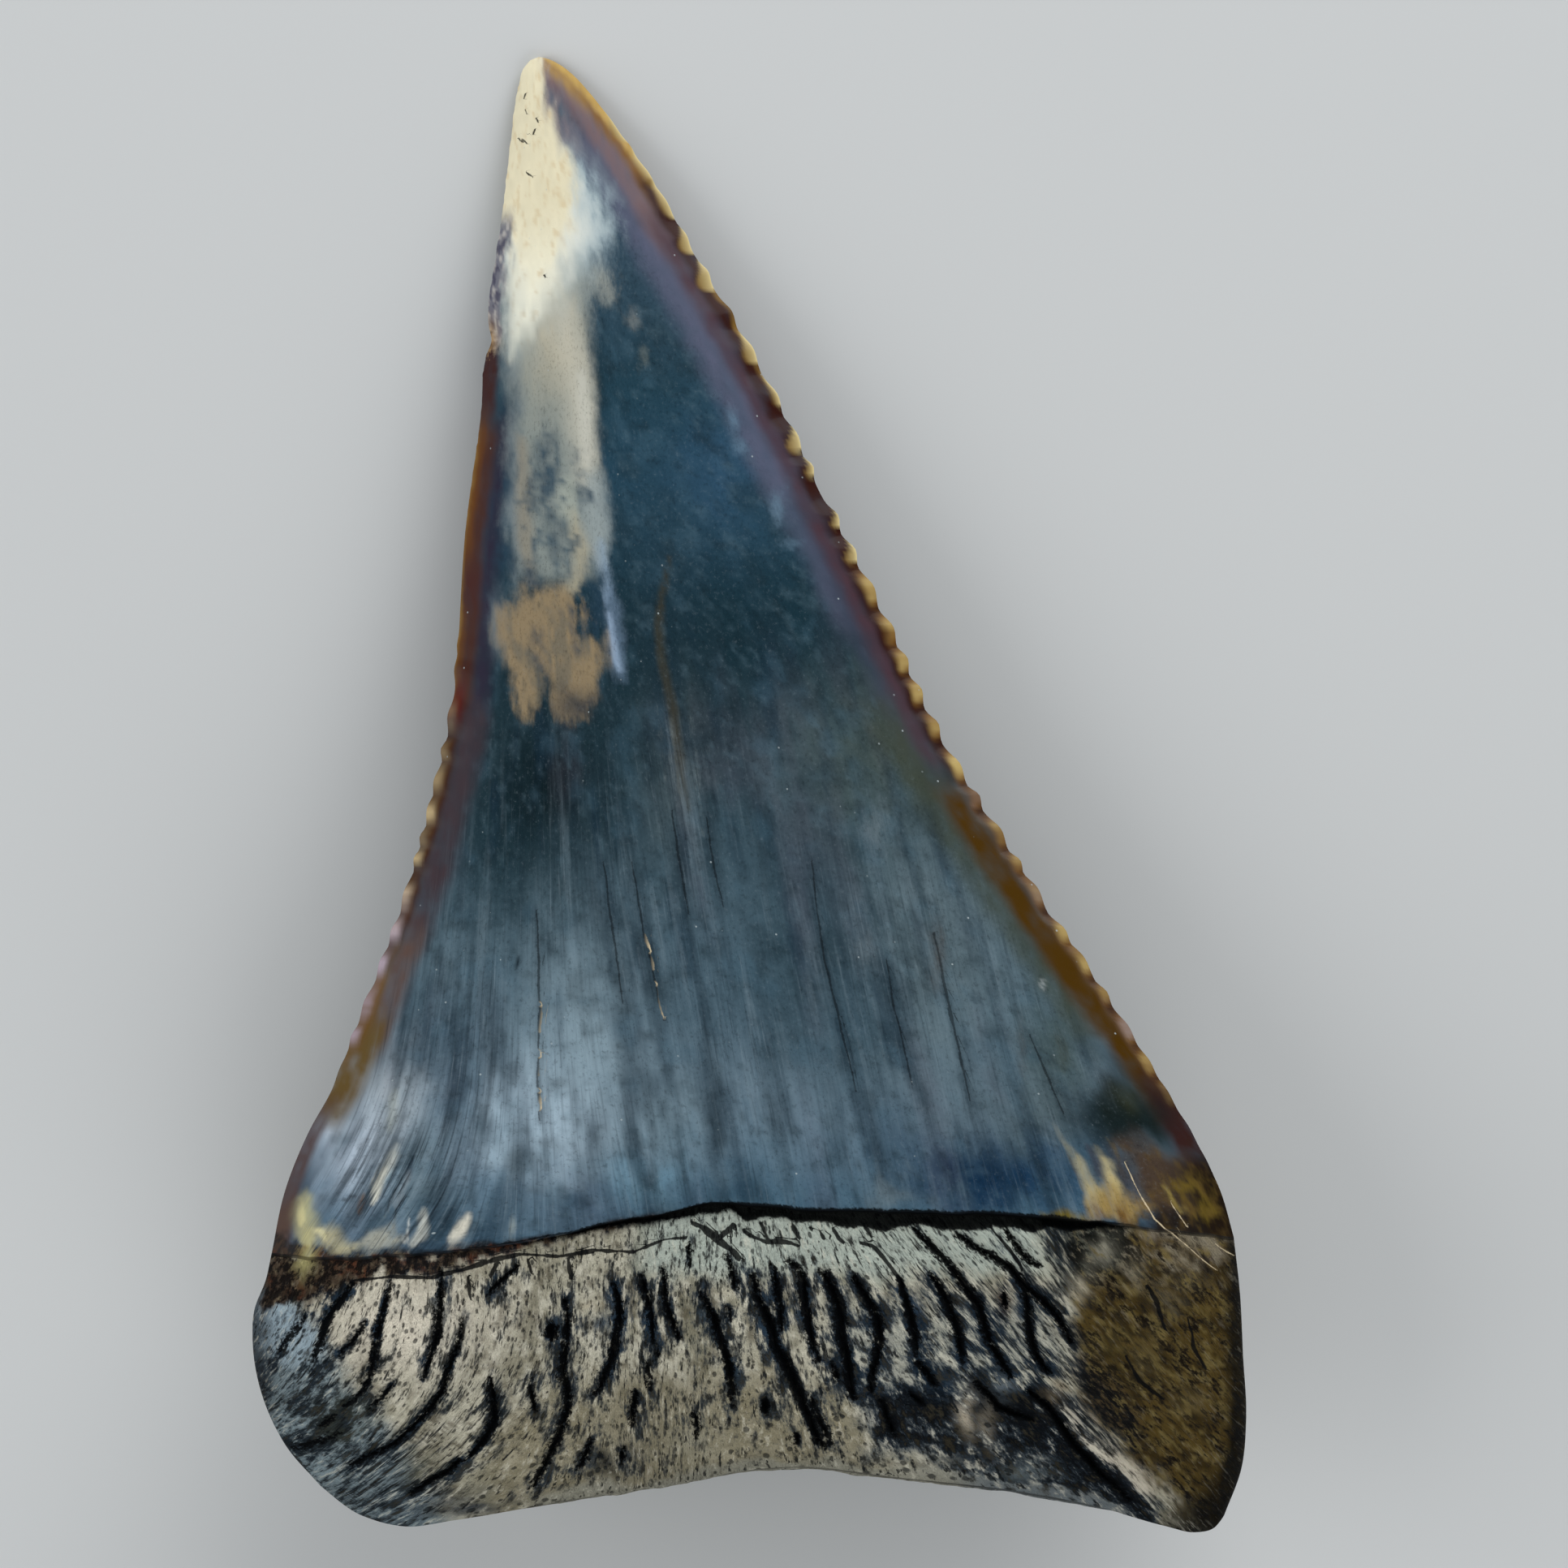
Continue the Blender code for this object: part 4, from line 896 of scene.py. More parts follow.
# Long dark streaks of the lower crown, soft at their sides
DARK_STREAKS = (
    (0.45, ((-5.2, 21.8), (-4.6, 19.4), (-3.9, 16.8))),
    (0.45, ((-3.95, 22.2), (-3.4, 19.2), (-2.8, 16.2))),
    (0.35, ((-2.7, 23.4), (-2.35, 21.6), (-2.0, 19.6))),
    (0.3, ((-1.25, 22.9), (-1.0, 19.6))),
    (0.6, ((-1.4, 17.2), (-1.2, 13.8), (-0.9, 10.6))),
    (0.35, ((-3.2, 14.6), (-2.95, 12.4))),
    (0.35, ((-9.45, 18.0), (-9.3, 15.4), (-9.6, 12.6))),
    (0.4, ((-8.45, 18.2), (-8.35, 15.0), (-8.5, 12.2))),
    (0.5, ((-7.4, 12.4), (-7.2, 10.4))),
    (0.5, ((0.6, 15.8), (0.9, 13.2), (1.2, 11.0))),
    (0.4, ((3.5, 14.4), (4.4, 11.0))),
    (0.4, ((5.4, 14.4), (6.4, 11.0))),
    (0.35, ((7.1, 13.8), (7.9, 11.4))),
    (0.4, ((-0.1, 24.4), (0.5, 20.6))),
    (0.3, ((2.6, 23.0), (3.4, 19.4))),
)
# Pale and dark strokes: (colour, strength, crispness, width, points)
BLADE_STROKES = (
    (rgb(80, 84, 100), 0.7, 0.1, 0.5, ((-5.95, 45.1), (-5.4, 44.4), (-4.6, 43.4), (-4.0, 42.6))),
    (RIDGE_CREAM, 0.6, 0.1, 0.95, ((-6.0, 39.2), (-5.75, 37.8), (-5.5, 36.8), (-5.35, 35.6), (-5.25, 34.6),
                                  (-5.3, 33.6))),
    (rgb(190, 190, 180), 0.45, 0.1, 0.4, ((-5.4, 37.0), (-5.3, 35.6), (-5.25, 34.3))),
    (rgb(130, 122, 106), 0.6, 0.2, 0.5, ((-7.3, 35.0), (-7.25, 33.4), (-7.2, 32.0), (-7.0, 30.4))),
    (rgb(140, 150, 150), 0.7, 0.15, 0.9, ((-5.0, 33.8), (-4.85, 32.2), (-4.8, 31.1))),
    (rgb(158, 150, 126), 0.6, 0.2, 0.5, ((-5.65, 32.5), (-5.35, 31.3), (-5.5, 30.5), (-5.9, 30.0))),
    (rgb(160, 166, 154), 0.5, 0.15, 0.6, ((-5.8, 33.4), (-5.8, 32.4))),
    (rgb(88, 90, 80), 0.5, 0.15, 0.4, ((-6.75, 27.4), (-6.8, 26.3))),
    (rgb(122, 142, 160), 0.6, 0.3, 0.4, ((-4.75, 31.6), (-4.6, 30.6), (-4.55, 29.8))),
    (rgb(92, 112, 132), 0.6, 0.2, 0.7, ((-4.5, 30.0), (-4.3, 28.8), (-4.1, 27.3))),
    (rgb(140, 160, 182), 0.6, 0.25, 0.28, ((-4.5, 29.3), (-4.4, 28.8), (-4.3, 28.1), (-4.15, 27.6))),
    (rgb(58, 52, 34), 0.55, 0.15, 0.4,
     ((-2.58, 31.2), (-2.8, 29.8), (-2.87, 28.9), (-2.72, 27.5), (-2.44, 26.4), (-2.22, 24.7), (-2.0, 23.2))),
    (rgb(96, 106, 108), 0.35, 0.5, 0.25, ((-2.95, 26.6), (-2.75, 24.6), (-2.45, 22.6))),
    (rgb(104, 114, 116), 0.35, 0.5, 0.2, ((-2.55, 26.0), (-2.4, 24.4), (-2.15, 22.8))),
    (rgb(96, 108, 112), 0.35, 0.5, 0.25, ((-1.9, 26.2), (-1.7, 24.4), (-1.4, 22.4))),
    (rgb(92, 104, 108), 0.3, 0.5, 0.2, ((-1.4, 25.6), (-1.2, 23.8))),
    (rgb(150, 156, 148), 0.5, 0.15, 0.5, ((-11.3, 14.2), (-11.45, 13.0))),
    (rgb(30, 44, 60), 0.6, 0.15, 0.2, ((-10.7, 12.0), (-10.95, 11.2))),
    (rgb(34, 40, 46), 0.7, 0.15, 0.16, ((-11.3, 10.9), (-11.6, 10.1))),
    (rgb(44, 46, 50), 0.6, 0.15, 0.16, ((-12.5, 10.9), (-13.1, 10.4))),
    (rgb(40, 46, 52), 0.6, 0.15, 0.14, ((-11.0, 10.6), (-11.35, 9.8))),
    (rgb(176, 180, 174), 0.75, 0.15, 0.5, ((-11.3, 12.35), (-11.55, 11.8), (-11.8, 11.3))),
    (rgb(214, 214, 200), 0.85, 0.15, 0.34, ((-11.6, 11.7), (-11.85, 11.1), (-12.05, 10.6))),
    (rgb(120, 146, 160), 0.5, 0.2, 0.2, ((-11.4, 11.6), (-11.6, 11.1))),
    (rgb(126, 92, 58), 0.7, 0.15, 0.22, ((-12.3, 10.85), (-12.45, 10.35))),
    (rgb(160, 160, 146), 0.7, 0.15, 0.7, ((-11.1, 9.6), (-11.7, 9.4), (-12.4, 9.25))),
    (rgb(196, 198, 188), 0.75, 0.15, 0.4, ((-10.3, 10.1), (-10.5, 9.65), (-10.75, 9.3))),
    (rgb(200, 204, 200), 0.65, 0.2, 0.14, ((-10.85, 10.0), (-11.05, 9.4))),
    (rgb(208, 204, 188), 0.8, 0.15, 0.45, ((-8.95, 10.2), (-9.15, 9.75), (-9.45, 9.35))),
    (rgb(130, 140, 146), 0.5, 0.2, 0.3, ((-10.9, 11.4), (-11.3, 10.3))),
    (rgb(150, 158, 152), 0.45, 0.2, 0.3, ((-7.5, 10.1), (-7.6, 9.75))),
    (rgb(162, 160, 124), 0.8, 0.1, 0.9, ((-14.15, 10.6), (-14.3, 10.0), (-14.25, 9.4))),
    (rgb(206, 198, 146), 0.7, 0.15, 0.3, ((-14.3, 10.3), (-14.4, 9.8))),
    (rgb(176, 170, 124), 0.7, 0.1, 0.5, ((-14.15, 9.5), (-14.1, 8.6))),
    (rgb(170, 164, 132), 0.8, 0.1, 0.9, ((-13.7, 9.4), (-13.2, 9.25), (-12.7, 9.05))),
    (rgb(206, 198, 152), 0.65, 0.15, 0.22, ((-13.95, 9.5), (-13.6, 9.35))),
    (rgb(112, 116, 108), 0.5, 0.2, 0.3, ((9.7, 13.0), (10.2, 12.2))),
    (rgb(48, 42, 40), 0.5, 0.1, 0.14, ((10.15, 12.0), (10.45, 11.4), (10.65, 11.0))),
    (rgb(52, 50, 58), 0.6, 0.1, 0.3, ((10.75, 12.3), (11.1, 11.6), (11.3, 11.2))),
    (rgb(50, 56, 62), 0.6, 0.1, 0.3, ((11.65, 11.8), (11.95, 11.2), (12.15, 10.9))),
    (rgb(112, 112, 96), 0.55, 0.1, 0.3, ((10.05, 12.45), (10.35, 11.95), (10.6, 11.5))),
    (rgb(150, 144, 116), 0.6, 0.1, 0.42, ((10.45, 11.8), (10.75, 11.3), (11.05, 10.7))),
    (rgb(164, 148, 100), 0.7, 0.1, 0.6, ((10.85, 11.1), (11.1, 10.6))),
    (rgb(120, 116, 96), 0.5, 0.1, 0.24, ((11.0, 12.3), (11.3, 11.8))),
    (rgb(176, 164, 122), 0.65, 0.1, 0.34, ((11.28, 11.85), (11.5, 11.4), (11.65, 10.9))),
    (rgb(168, 152, 104), 0.6, 0.1, 0.5, ((11.5, 11.3), (11.7, 10.8))),
    (rgb(104, 98, 76), 0.45, 0.15, 0.14, ((11.25, 12.8), (11.55, 12.3), (11.75, 11.8))),
    (rgb(96, 82, 12), 0.75, 0.2, 0.5, ((9.3, 10.25), (10.0, 10.1), (10.7, 10.0))),
    (rgb(60, 44, 14), 0.6, 0.2, 0.3, ((10.7, 9.95), (12.7, 9.95))),
)
# Bands along the cutting edges: (from y, to y, from depth, to depth, colour, strength)
RIGHT_BANDS = (
    (33.5, 45.5, 0.6, 1.6, PURPLE, 0.85),
    (29.5, 33.5, 0.8, 1.5, PURPLE, 0.5),
    (25.0, 33.0, 0.6, 1.3, DUSK, 0.5),
    (16.5, 27.0, 0.8, 1.9, OLIVE_GREY, 0.75),
    (16.5, 24.2, 0.3, 1.15, OLIVE, 0.98),
    (13.6, 19.5, 0.05, 0.92, OLIVE, 0.98),
    (41.5, 48.0, 0.35, 0.95, PLUM_GREY, 0.85),
    (42.6, 48.0, -0.5, 0.44, AMBER, 1.0),
    (46.2, 48.0, -0.5, 0.6, rgb(148, 118, 66), 0.8),
    (42.2, 48.0, -0.5, 0.2, GOLD, 0.9),
    (25.0, 42.5, 0.35, 0.85, PLUM, 0.85),
    (24.5, 43.5, -0.5, 0.44, MAROON, 1.0),
    (37.0, 40.0, -0.5, 0.1, rgb(120, 92, 42), 0.8),
    (14.8, 24.5, -0.5, 0.34, rgb(82, 62, 44), 0.9),
    (11.2, 14.8, -0.5, 0.8, rgb(50, 26, 24), 0.95),
    (8.0, 11.5, -0.5, 0.8, rgb(24, 17, 10), 0.98),
)
LEFT_BANDS = (
    (26.3, 36.0, 0.55, 1.15, INK_PURPLE, 0.9),
    (19.0, 26.5, 0.35, 1.25, rgb(58, 47, 52), 0.9),
    (15.4, 19.4, 0.3, 1.15, rgb(84, 66, 60), 0.9),
    (13.2, 16.4, -0.5, 0.95, rgb(88, 70, 36), 0.95),
    (9.0, 13.6, -0.5, 0.45, rgb(72, 56, 54), 0.9),
    (35.6, 38.2, -0.5, 0.45, rgb(50, 22, 20), 1.0),
    (26.3, 35.6, -0.5, 0.6, rgb(60, 33, 26), 1.0),
    (29.6, 31.0, -0.5, 0.6, rgb(60, 22, 20), 0.6),
    (31.2, 35.6, -0.5, 0.26, rgb(88, 50, 8), 0.9),
    (27.4, 29.4, -0.5, 0.2, rgb(90, 54, 12), 0.8),
    (25.8, 27.3, -0.5, 0.4, rgb(80, 14, 6), 0.8),
    (27.0, 35.6, -0.5, 0.05, rgb(140, 112, 56), 0.5),
    (18.5, 25.8, -0.5, 0.42, rgb(56, 30, 14), 1.0),
    (15.4, 18.5, -0.5, 0.42, rgb(92, 66, 28), 0.95),
)
# Gold drops of the right cutting edge near the tip: (upper y, lower y, depth)
GOLD_DROPS = ((45.6, 44.6, 0.26), (44.5, 43.4, 0.28), (43.6, 42.1, 0.3), (41.9, 41.0, 0.4),
              (40.8, 39.8, 0.5), (38.5, 37.4, 0.4), (37.1, 36.0, 0.24), (35.4, 34.6, 0.46),
              (34.4, 33.75, 0.3), (32.7, 32.1, 0.3), (31.7, 31.0, 0.4))

# Where the fine streaks show more or less: (place, size, strength)
STREAK_SPOTS = (
    ((-9.4, 13.0), (3.0, 5.0), 0.4),
    ((-11.2, 10.8), (1.9, 1.5), 1.6),
    ((12.2, 13.0), (1.4, 1.0), -0.9),
)


def ramp(pairs, at):
    """Colour at a height, between listed colours."""
    places = np.array([place for place, _ in pairs])
    colours = np.array([colour for _, colour in pairs])
    order = np.argsort(places)
    return np.stack([np.interp(at, places[order], colours[order, i]) for i in range(3)], axis=-1)


def blend(first, second, share):
    """One colour that turns into another by its share."""
    return first + (second - first) * share[:, None]


def tint(coat, colour, share):
    """Tint one coat towards a colour, in place."""
    coat += (colour - coat) * np.clip(share, 0.0, 1.0)[:, None]


class Paint:
    """Two coats of colour: the lower one shows where the upper one doesn't cover."""

    def __init__(self, colour):
        self.lower, self.upper = colour.copy(), colour.copy()
        self.cover, self.crisp = np.zeros(len(colour)), np.zeros(len(colour))

    def wash(self, colour, share):
        """Tint both coats towards a colour."""
        tint(self.lower, colour, share)
        tint(self.upper, colour, share)

    def patch(self, colour, share, crisp):
        """Lay a patch in the upper coat; crisp edges break up into small islands."""
        share = np.clip(share, 0.0, 1.0)
        self.cover = 1.0 - (1.0 - self.cover) * (1.0 - share)
        weight = share / np.maximum(self.cover, 1e-6)
        tint(self.upper, colour, weight)
        self.crisp += (crisp - self.crisp) * weight


def soft_edge(distance, width):
    """1 inside an edge, 0 outside, over a soft stretch of the given width."""
    return 1.0 - ease(distance, -0.5 * width, 0.5 * width)


def band(value, low, high, blur):
    """1 between two values, with soft ends."""
    return ease(value, low - blur, low + blur) * (1.0 - ease(value, high - blur, high + blur))


def spot(x, y, place, size):
    """A round soft spot."""
    return np.exp(-(((x - place[0]) / size[0]) ** 2 + ((y - place[1]) / size[1]) ** 2))


class Places:
    """Where each point of the mesh lies, and the fields that its colours are made from."""

    def __init__(self, points, u, v, side):
        self.x, self.y, self.w = points[:, 0], points[:, 1], points[:, 2]
        self.side = side
        self.labial = side > 0.5
        self.rooted = v > 1.0
        self.below = np.where(self.rooted, np.maximum(below_foot(self.x, self.y, self.labial), 0.01),
                              np.minimum(below_foot(self.x, self.y, self.labial), 0.0))
        down = np.clip(v, 0.0, 1.0)
        width = right_blade.at(down)[:, 0] - left_blade.at(down)[:, 0]
        self.from_left = u * width * 0.97
        self.from_right = (1.0 - u) * width * 0.88
        self.fibre = np.where(self.rooted & self.labial, root_fibre(self.x, self.below),
                              np.where(self.rooted, self.x, crown_fibre(self.x, self.y)))
        self.shown = np.where(self.labial, 1.0, np.exp(-np.minimum(self.from_left, self.from_right)))
        self.warp_x = self.x + 0.22 * self.noise((0.5, 0.8), 61)
        self.warp_y = self.y + 0.35 * self.noise((0.5, 0.8), 66)

    def noise(self, size, seed, octaves=3):
        """Noise in the tooth's own directions."""
        return cloud(self.fibre, self.y, self.w, size, seed, octaves)

    def mottle(self, size, seed, low, high, octaves=3):
        """Patches, from 0 where the noise is below low to 1 where it is above high."""
        return ease(self.noise(size, seed, octaves), low, high)


def paint_bands(paint, at, ragged):
    """Bands of colour along the two cutting edges."""
    patchy = 0.97 + 0.3 * at.noise((0.35, 0.5), 73)
    sides = ((LEFT_BANDS, at.from_left, LEFT_SLANT), (RIGHT_BANDS, at.from_right, RIGHT_SLANT))
    for bands, depth, slant in sides:
        height = at.y + slant * depth + 4.0 * ragged
        for low, high, near, far, colour, strength in bands:
            share = band(height, low, high, 0.7) * band(depth + ragged, near, far, 0.07 + 0.2 * far)
            paint.wash(colour, strength * share * patchy)


def paint_knobs(paint, at, ragged):
    """Pale knobs of the cutting edges, with dark notches between them on the right."""
    uneven = np.clip(0.72 + 1.1 * cloud(at.y, at.side, at.side, (0.6, 0.6), 75), 0.1, 1.1)
    mauve = ease(25.5 - at.y, 0.0, 2.0) * ease(cloud(at.y, at.side, at.side, (1.1, 1.1), 77), -0.2, 0.2)
    crest = knob(at.y + RIGHT_SLANT * at.from_right, RIGHT_KNOBS)
    outer = soft_edge(at.from_right + ragged - 0.24, 0.26)
    cream = band(at.y, 24.0, 31.0, 0.5) + band(at.y, 14.0, 24.0, 1.0) * 0.7
    paint.wash(rgb(40, 18, 12), (1.0 - crest) * outer * band(at.y, 14.0, 31.0, 1.0) * 0.8)
    paint.wash(rgb(112, 76, 30), ease(crest, 0.05, 0.5) * outer * cream * 0.85)
    paint.wash(blend(KNOB_CREAM, rgb(140, 124, 118), mauve), ease(crest, 0.3, 0.8) * outer * cream * uneven)
    crest = knob(at.y + LEFT_SLANT * at.from_left, LEFT_KNOBS)
    crest = crest * soft_edge(at.from_left + ragged - 0.22, 0.3)
    pearl = blend(rgb(170, 150, 112), rgb(156, 142, 152), ease(21.5 - at.y, 0.0, 3.0))
    bright = band(at.y, 15.5, 24.2, 1.0) + 0.45 * band(at.y, 24.2, 27.0, 0.8)
    paint.wash(pearl, 1.2 * crest * bright * uneven)


def paint_gold_drops(paint, at):
    """Gold drops along the right cutting edge near the tip."""
    height = at.y + RIGHT_SLANT * at.from_right
    for top, bottom, depth in GOLD_DROPS:
        down = np.clip((top - height) / (top - bottom), 0.0, 1.0)
        reach = depth * np.sin(np.pi * down**1.6) ** 0.6
        share = soft_edge(at.from_right - reach + 0.06, 0.22) * ((down > 0.0) & (down < 1.0))
        tone = np.sqrt(np.clip(at.from_right / depth, 0.0, 1.0))
        paint.wash(blend(rgb(206, 190, 138), rgb(104, 74, 20), tone), share * 0.95)


def paint_ghost(paint, at):
    """The pale column below the ivory."""
    x, y = at.warp_x, at.warp_y
    fine = at.noise((0.3, 0.6), 91)
    column = soft_edge(area_distance(x, y, GHOST) + 0.15 * fine + 0.25, 1.3) * at.labial
    body = 0.78 + 0.12 * ease(y, 34.5, 37.5) + 0.25 * at.noise((0.6, 1.6), 92) + 0.18 * fine
    paint.patch(GHOST_GREY, column * np.clip(body, 0.0, 1.0), 0.15)
    warm = spot(x, y, (-6.3, 38.2), (1.0, 1.9)) * column
    paint.patch(rgb(170, 163, 142), warm * (0.85 + 0.3 * fine), 0.15)
    paint.patch(rgb(108, 120, 128), column * soft_edge(x + 7.45, 0.7) * 0.6, 0.15)


def paint_tan(paint, at):
    """The tan patch at the column's foot, and the dark hollows of both."""
    x, y = at.warp_x, at.warp_y
    fine = at.noise((0.3, 0.6), 93)
    paint.patch(rgb(98, 112, 120), spot(x, y, (-8.0, 29.0), (0.38, 1.1)) * 0.8 * at.labial, 0.1)
    tan = soft_edge(area_distance(x, y, TAN_PATCH) + 0.2 * fine, 0.8) * at.labial
    hue = blend(TAN, rgb(110, 102, 86), at.mottle((0.4, 0.8), 94, -0.1, 0.5))
    paint.patch(hue, tan * np.clip(0.92 + 0.3 * at.noise((0.22, 0.5), 95), 0.0, 1.0), 0.3)
    paint.wash(rgb(58, 59, 60), spot(x, y, (-5.4, 26.4), (0.9, 0.55)) * np.clip(1.6 * tan, 0.0, 1.0) * 0.95)
    hollow = soft_edge(strokes_distance(x, y, HOLLOWS) + 0.28 * fine, 0.55) * at.labial
    paint.wash(rgb(34, 56, 72), hollow * np.clip(0.55 + 0.6 * at.noise((0.22, 0.3), 96), 0.0, 0.85))
    loose = soft_edge(area_distance(x, y, GHOST) + 0.4, 0.8) * (1.0 - ease(y, 33.8, 35.2)) * at.labial
    paint.wash(rgb(48, 70, 84), loose * at.mottle((0.22, 0.32), 99, 0.05, 0.55) * 0.7)


def paint_ivory(paint, at):
    """The ivory tip, the pale haze beside and below it, and the worn strip at its left."""
    x, y = at.warp_x, at.warp_y
    ivory, pale = area_distance(x, y, IVORY_TIP), area_distance(x, y, PALE_TIP)
    high = ease(y, 39.6, 41.6)
    frayed = pale + 0.25 * at.noise((0.3, 0.5), 74)
    haze = blend(BLUE_HAZE, rgb(132, 120, 120), ease(y, 43.6, 45.2))
    paint.patch(haze, soft_edge(frayed, 1.5) * at.shown * (0.2 + 0.65 * high), 0.15)
    paint.patch(PALE_HAZE, soft_edge(frayed + 1.0 - 0.2 * high, 1.7) * at.shown, 0.15)
    shade = blend(IVORY, IVORY_LOW, 1.0 - ease(at.y, 38.5, 43.0))
    shade = shade * (1.0 + 0.06 * at.noise((0.35, 0.45), 90))[:, None]
    tint(shade, rgb(196, 176, 138), 0.55 * at.mottle((0.24, 0.32), 82, 0.1, 0.6))
    paint.patch(shade, soft_edge(ivory + 0.3 - 0.3 * high, 1.6 - 1.1 * high) * at.shown, 0.1)
    ragged = at.from_left + 0.22 * at.noise((0.3, 0.4), 88)
    worn = band(at.y, 38.0, 42.2, 0.5) * soft_edge(ragged - 0.4, 0.3) * at.labial
    paint.patch(rgb(98, 98, 108), worn * 0.95, 0.3)
    tint(paint.upper, rgb(176, 172, 166), at.mottle((0.2, 0.26), 86, 0.0, 0.4) * worn * 0.7)
    tint(paint.upper, rgb(44, 42, 66), at.mottle((0.2, 0.3), 79, 0.1, 0.5) * worn * 0.7)
    crumbs = spot(at.x, at.y, (-8.45, 38.25), (0.28, 0.5)) * at.labial
    paint.patch(rgb(176, 142, 88), crumbs * 0.8, 0.7)
    tint(paint.upper, rgb(58, 30, 12), crumbs * at.mottle((0.16, 0.2), 84, 0.0, 0.25))


def paint_right_foot(paint, at):
    """The painted shadow, the brown corner and the cream block at the right foot of the crown."""
    x, y = at.warp_x, at.warp_y
    # Painted shadow over the crown's lower right, above the brown corner
    painted_shadow = np.clip(1.1 * spot(x, y, (12.1, 13.25), (1.35, 0.9)), 0.0, 0.9)
    paint.wash(rgb(12, 24, 24), painted_shadow * at.labial)
    paint.wash(rgb(52, 54, 34), spot(x, y, (12.0, 13.9), (0.5, 0.5)) * 0.5 * at.labial)
    corner = soft_edge(area_distance(x, y, BROWN_CORNER) + 0.25 * at.noise((0.4, 0.6), 97), 1.0)
    darker = np.maximum(ease(x, 13.0, 14.6), ease(10.6 - y, 0.0, 0.6))
    paint.wash(blend(rgb(64, 50, 38), rgb(26, 17, 8), darker), corner * 0.97)
    paint.patch(rgb(86, 68, 34), corner * (0.2 + 0.5 * at.noise((0.2, 0.3), 98)), 0.2)
    gleam = np.maximum(spot(x, y, (14.0, 11.0), (0.45, 0.35)), spot(x, y, (14.6, 10.35), (0.4, 0.4)))
    paint.patch(rgb(98, 82, 26), gleam * (0.6 + 0.4 * at.noise((0.2, 0.3), 69)) * at.labial, 0.3)
    fleck = soft_edge(strokes_distance(x, y, CORNER_FLECK), 0.16) * at.labial
    paint.patch(rgb(128, 112, 62), fleck * 0.7, 0.3)
    block = soft_edge(area_distance(x, y, CREAM_BLOCK), 0.6) * at.labial
    paint.patch(rgb(140, 117, 66), block * 0.75, 0.2)
    rusty = at.mottle((0.16, 1.0), 72, -0.1, 0.4) * ease(10.8 - y, 0.0, 0.5)
    paint.wash(rgb(92, 62, 22), block * rusty * 0.8)


def paint_blade(at):
    """Colours of the crown."""
    height = at.y - 1.2 * at.noise((3.0, 6.0), 81)
    paint = Paint(ramp(BLADE_RAMP, np.where(at.labial, height, np.maximum(height, 20.0) * 0.7 + 8.0)))
    x, y = at.warp_x, at.warp_y
    for x0, y0, half_width, half_height, colour, strength in BLADE_CLOUDS:
        share = spot(2.0 * x - at.x, 2.0 * y - at.y, (x0, y0), (half_width, half_height))
        paint.wash(colour, strength * share * at.labial)
    low = 1.0 - ease(at.y, 25.0, 31.0)
    paint.wash(rgb(84, 72, 84), 0.2 * at.mottle((1.0, 5.0), 83, 0.0, 0.8) * low)
    paint.wash(rgb(18, 38, 52), 0.55 * at.mottle((0.6, 3.2), 85, 0.0, 0.6) * low)
    paint.wash(rgb(22, 40, 48), 0.4 * at.mottle((0.9, 1.1), 87, 0.0, 0.7))
    paint.wash(rgb(64, 92, 108), 0.25 * at.mottle((0.7, 0.9), 89, 0.1, 0.7))
    paint.wash(rgb(16, 30, 36), 0.4 * at.mottle((0.3, 0.38), 80, 0.05, 0.8, 2))
    paint.wash(rgb(84, 108, 120), 0.22 * at.mottle((0.26, 0.34), 78, 0.1, 0.8, 2))
    halo = soft_edge(strokes_distance(at.x, at.y, CROWN_CRACKS) - 0.06, 0.36)
    dark = soft_edge(strokes_distance(x, at.y, DARK_STREAKS), 0.5) * (0.7 + 0.6 * at.noise((0.2, 1.2), 76))
    paint.wash(rgb(26, 38, 46), 0.5 * np.maximum(halo, dark) * at.labial)
    ragged = 0.08 * at.noise((0.5, 0.7), 71)
    paint_bands(paint, at, ragged)
    paint_knobs(paint, at, ragged)
    paint_gold_drops(paint, at)
    for x0, y0, half_width, half_height, colour, strength in BLADE_SPOTS:
        share = spot(x, y, (x0, y0), (half_width, half_height))
        paint.patch(colour, strength * share * at.labial, 0.2)
    paint_ghost(paint, at)
    for colour, strength, crisp, width, points in BLADE_STROKES:
        distance = strokes_distance(0.6 * at.x + 0.4 * x, y, ((width, points),))
        paint.patch(colour, strength * soft_edge(distance, 0.8 * width) * at.labial, crisp)
    paint_tan(paint, at)
    paint_ivory(paint, at)
    paint_right_foot(paint, at)
    paint.wash(rgb(74, 54, 44), 0.85 * spot(x, y, (-15.1, 9.9), (0.55, 1.1)) * at.labial)
    paint.wash(rgb(58, 40, 28), 0.7 * spot(x, y, (-13.4, 8.7), (2.2, 0.2)) * at.labial)
    return paint


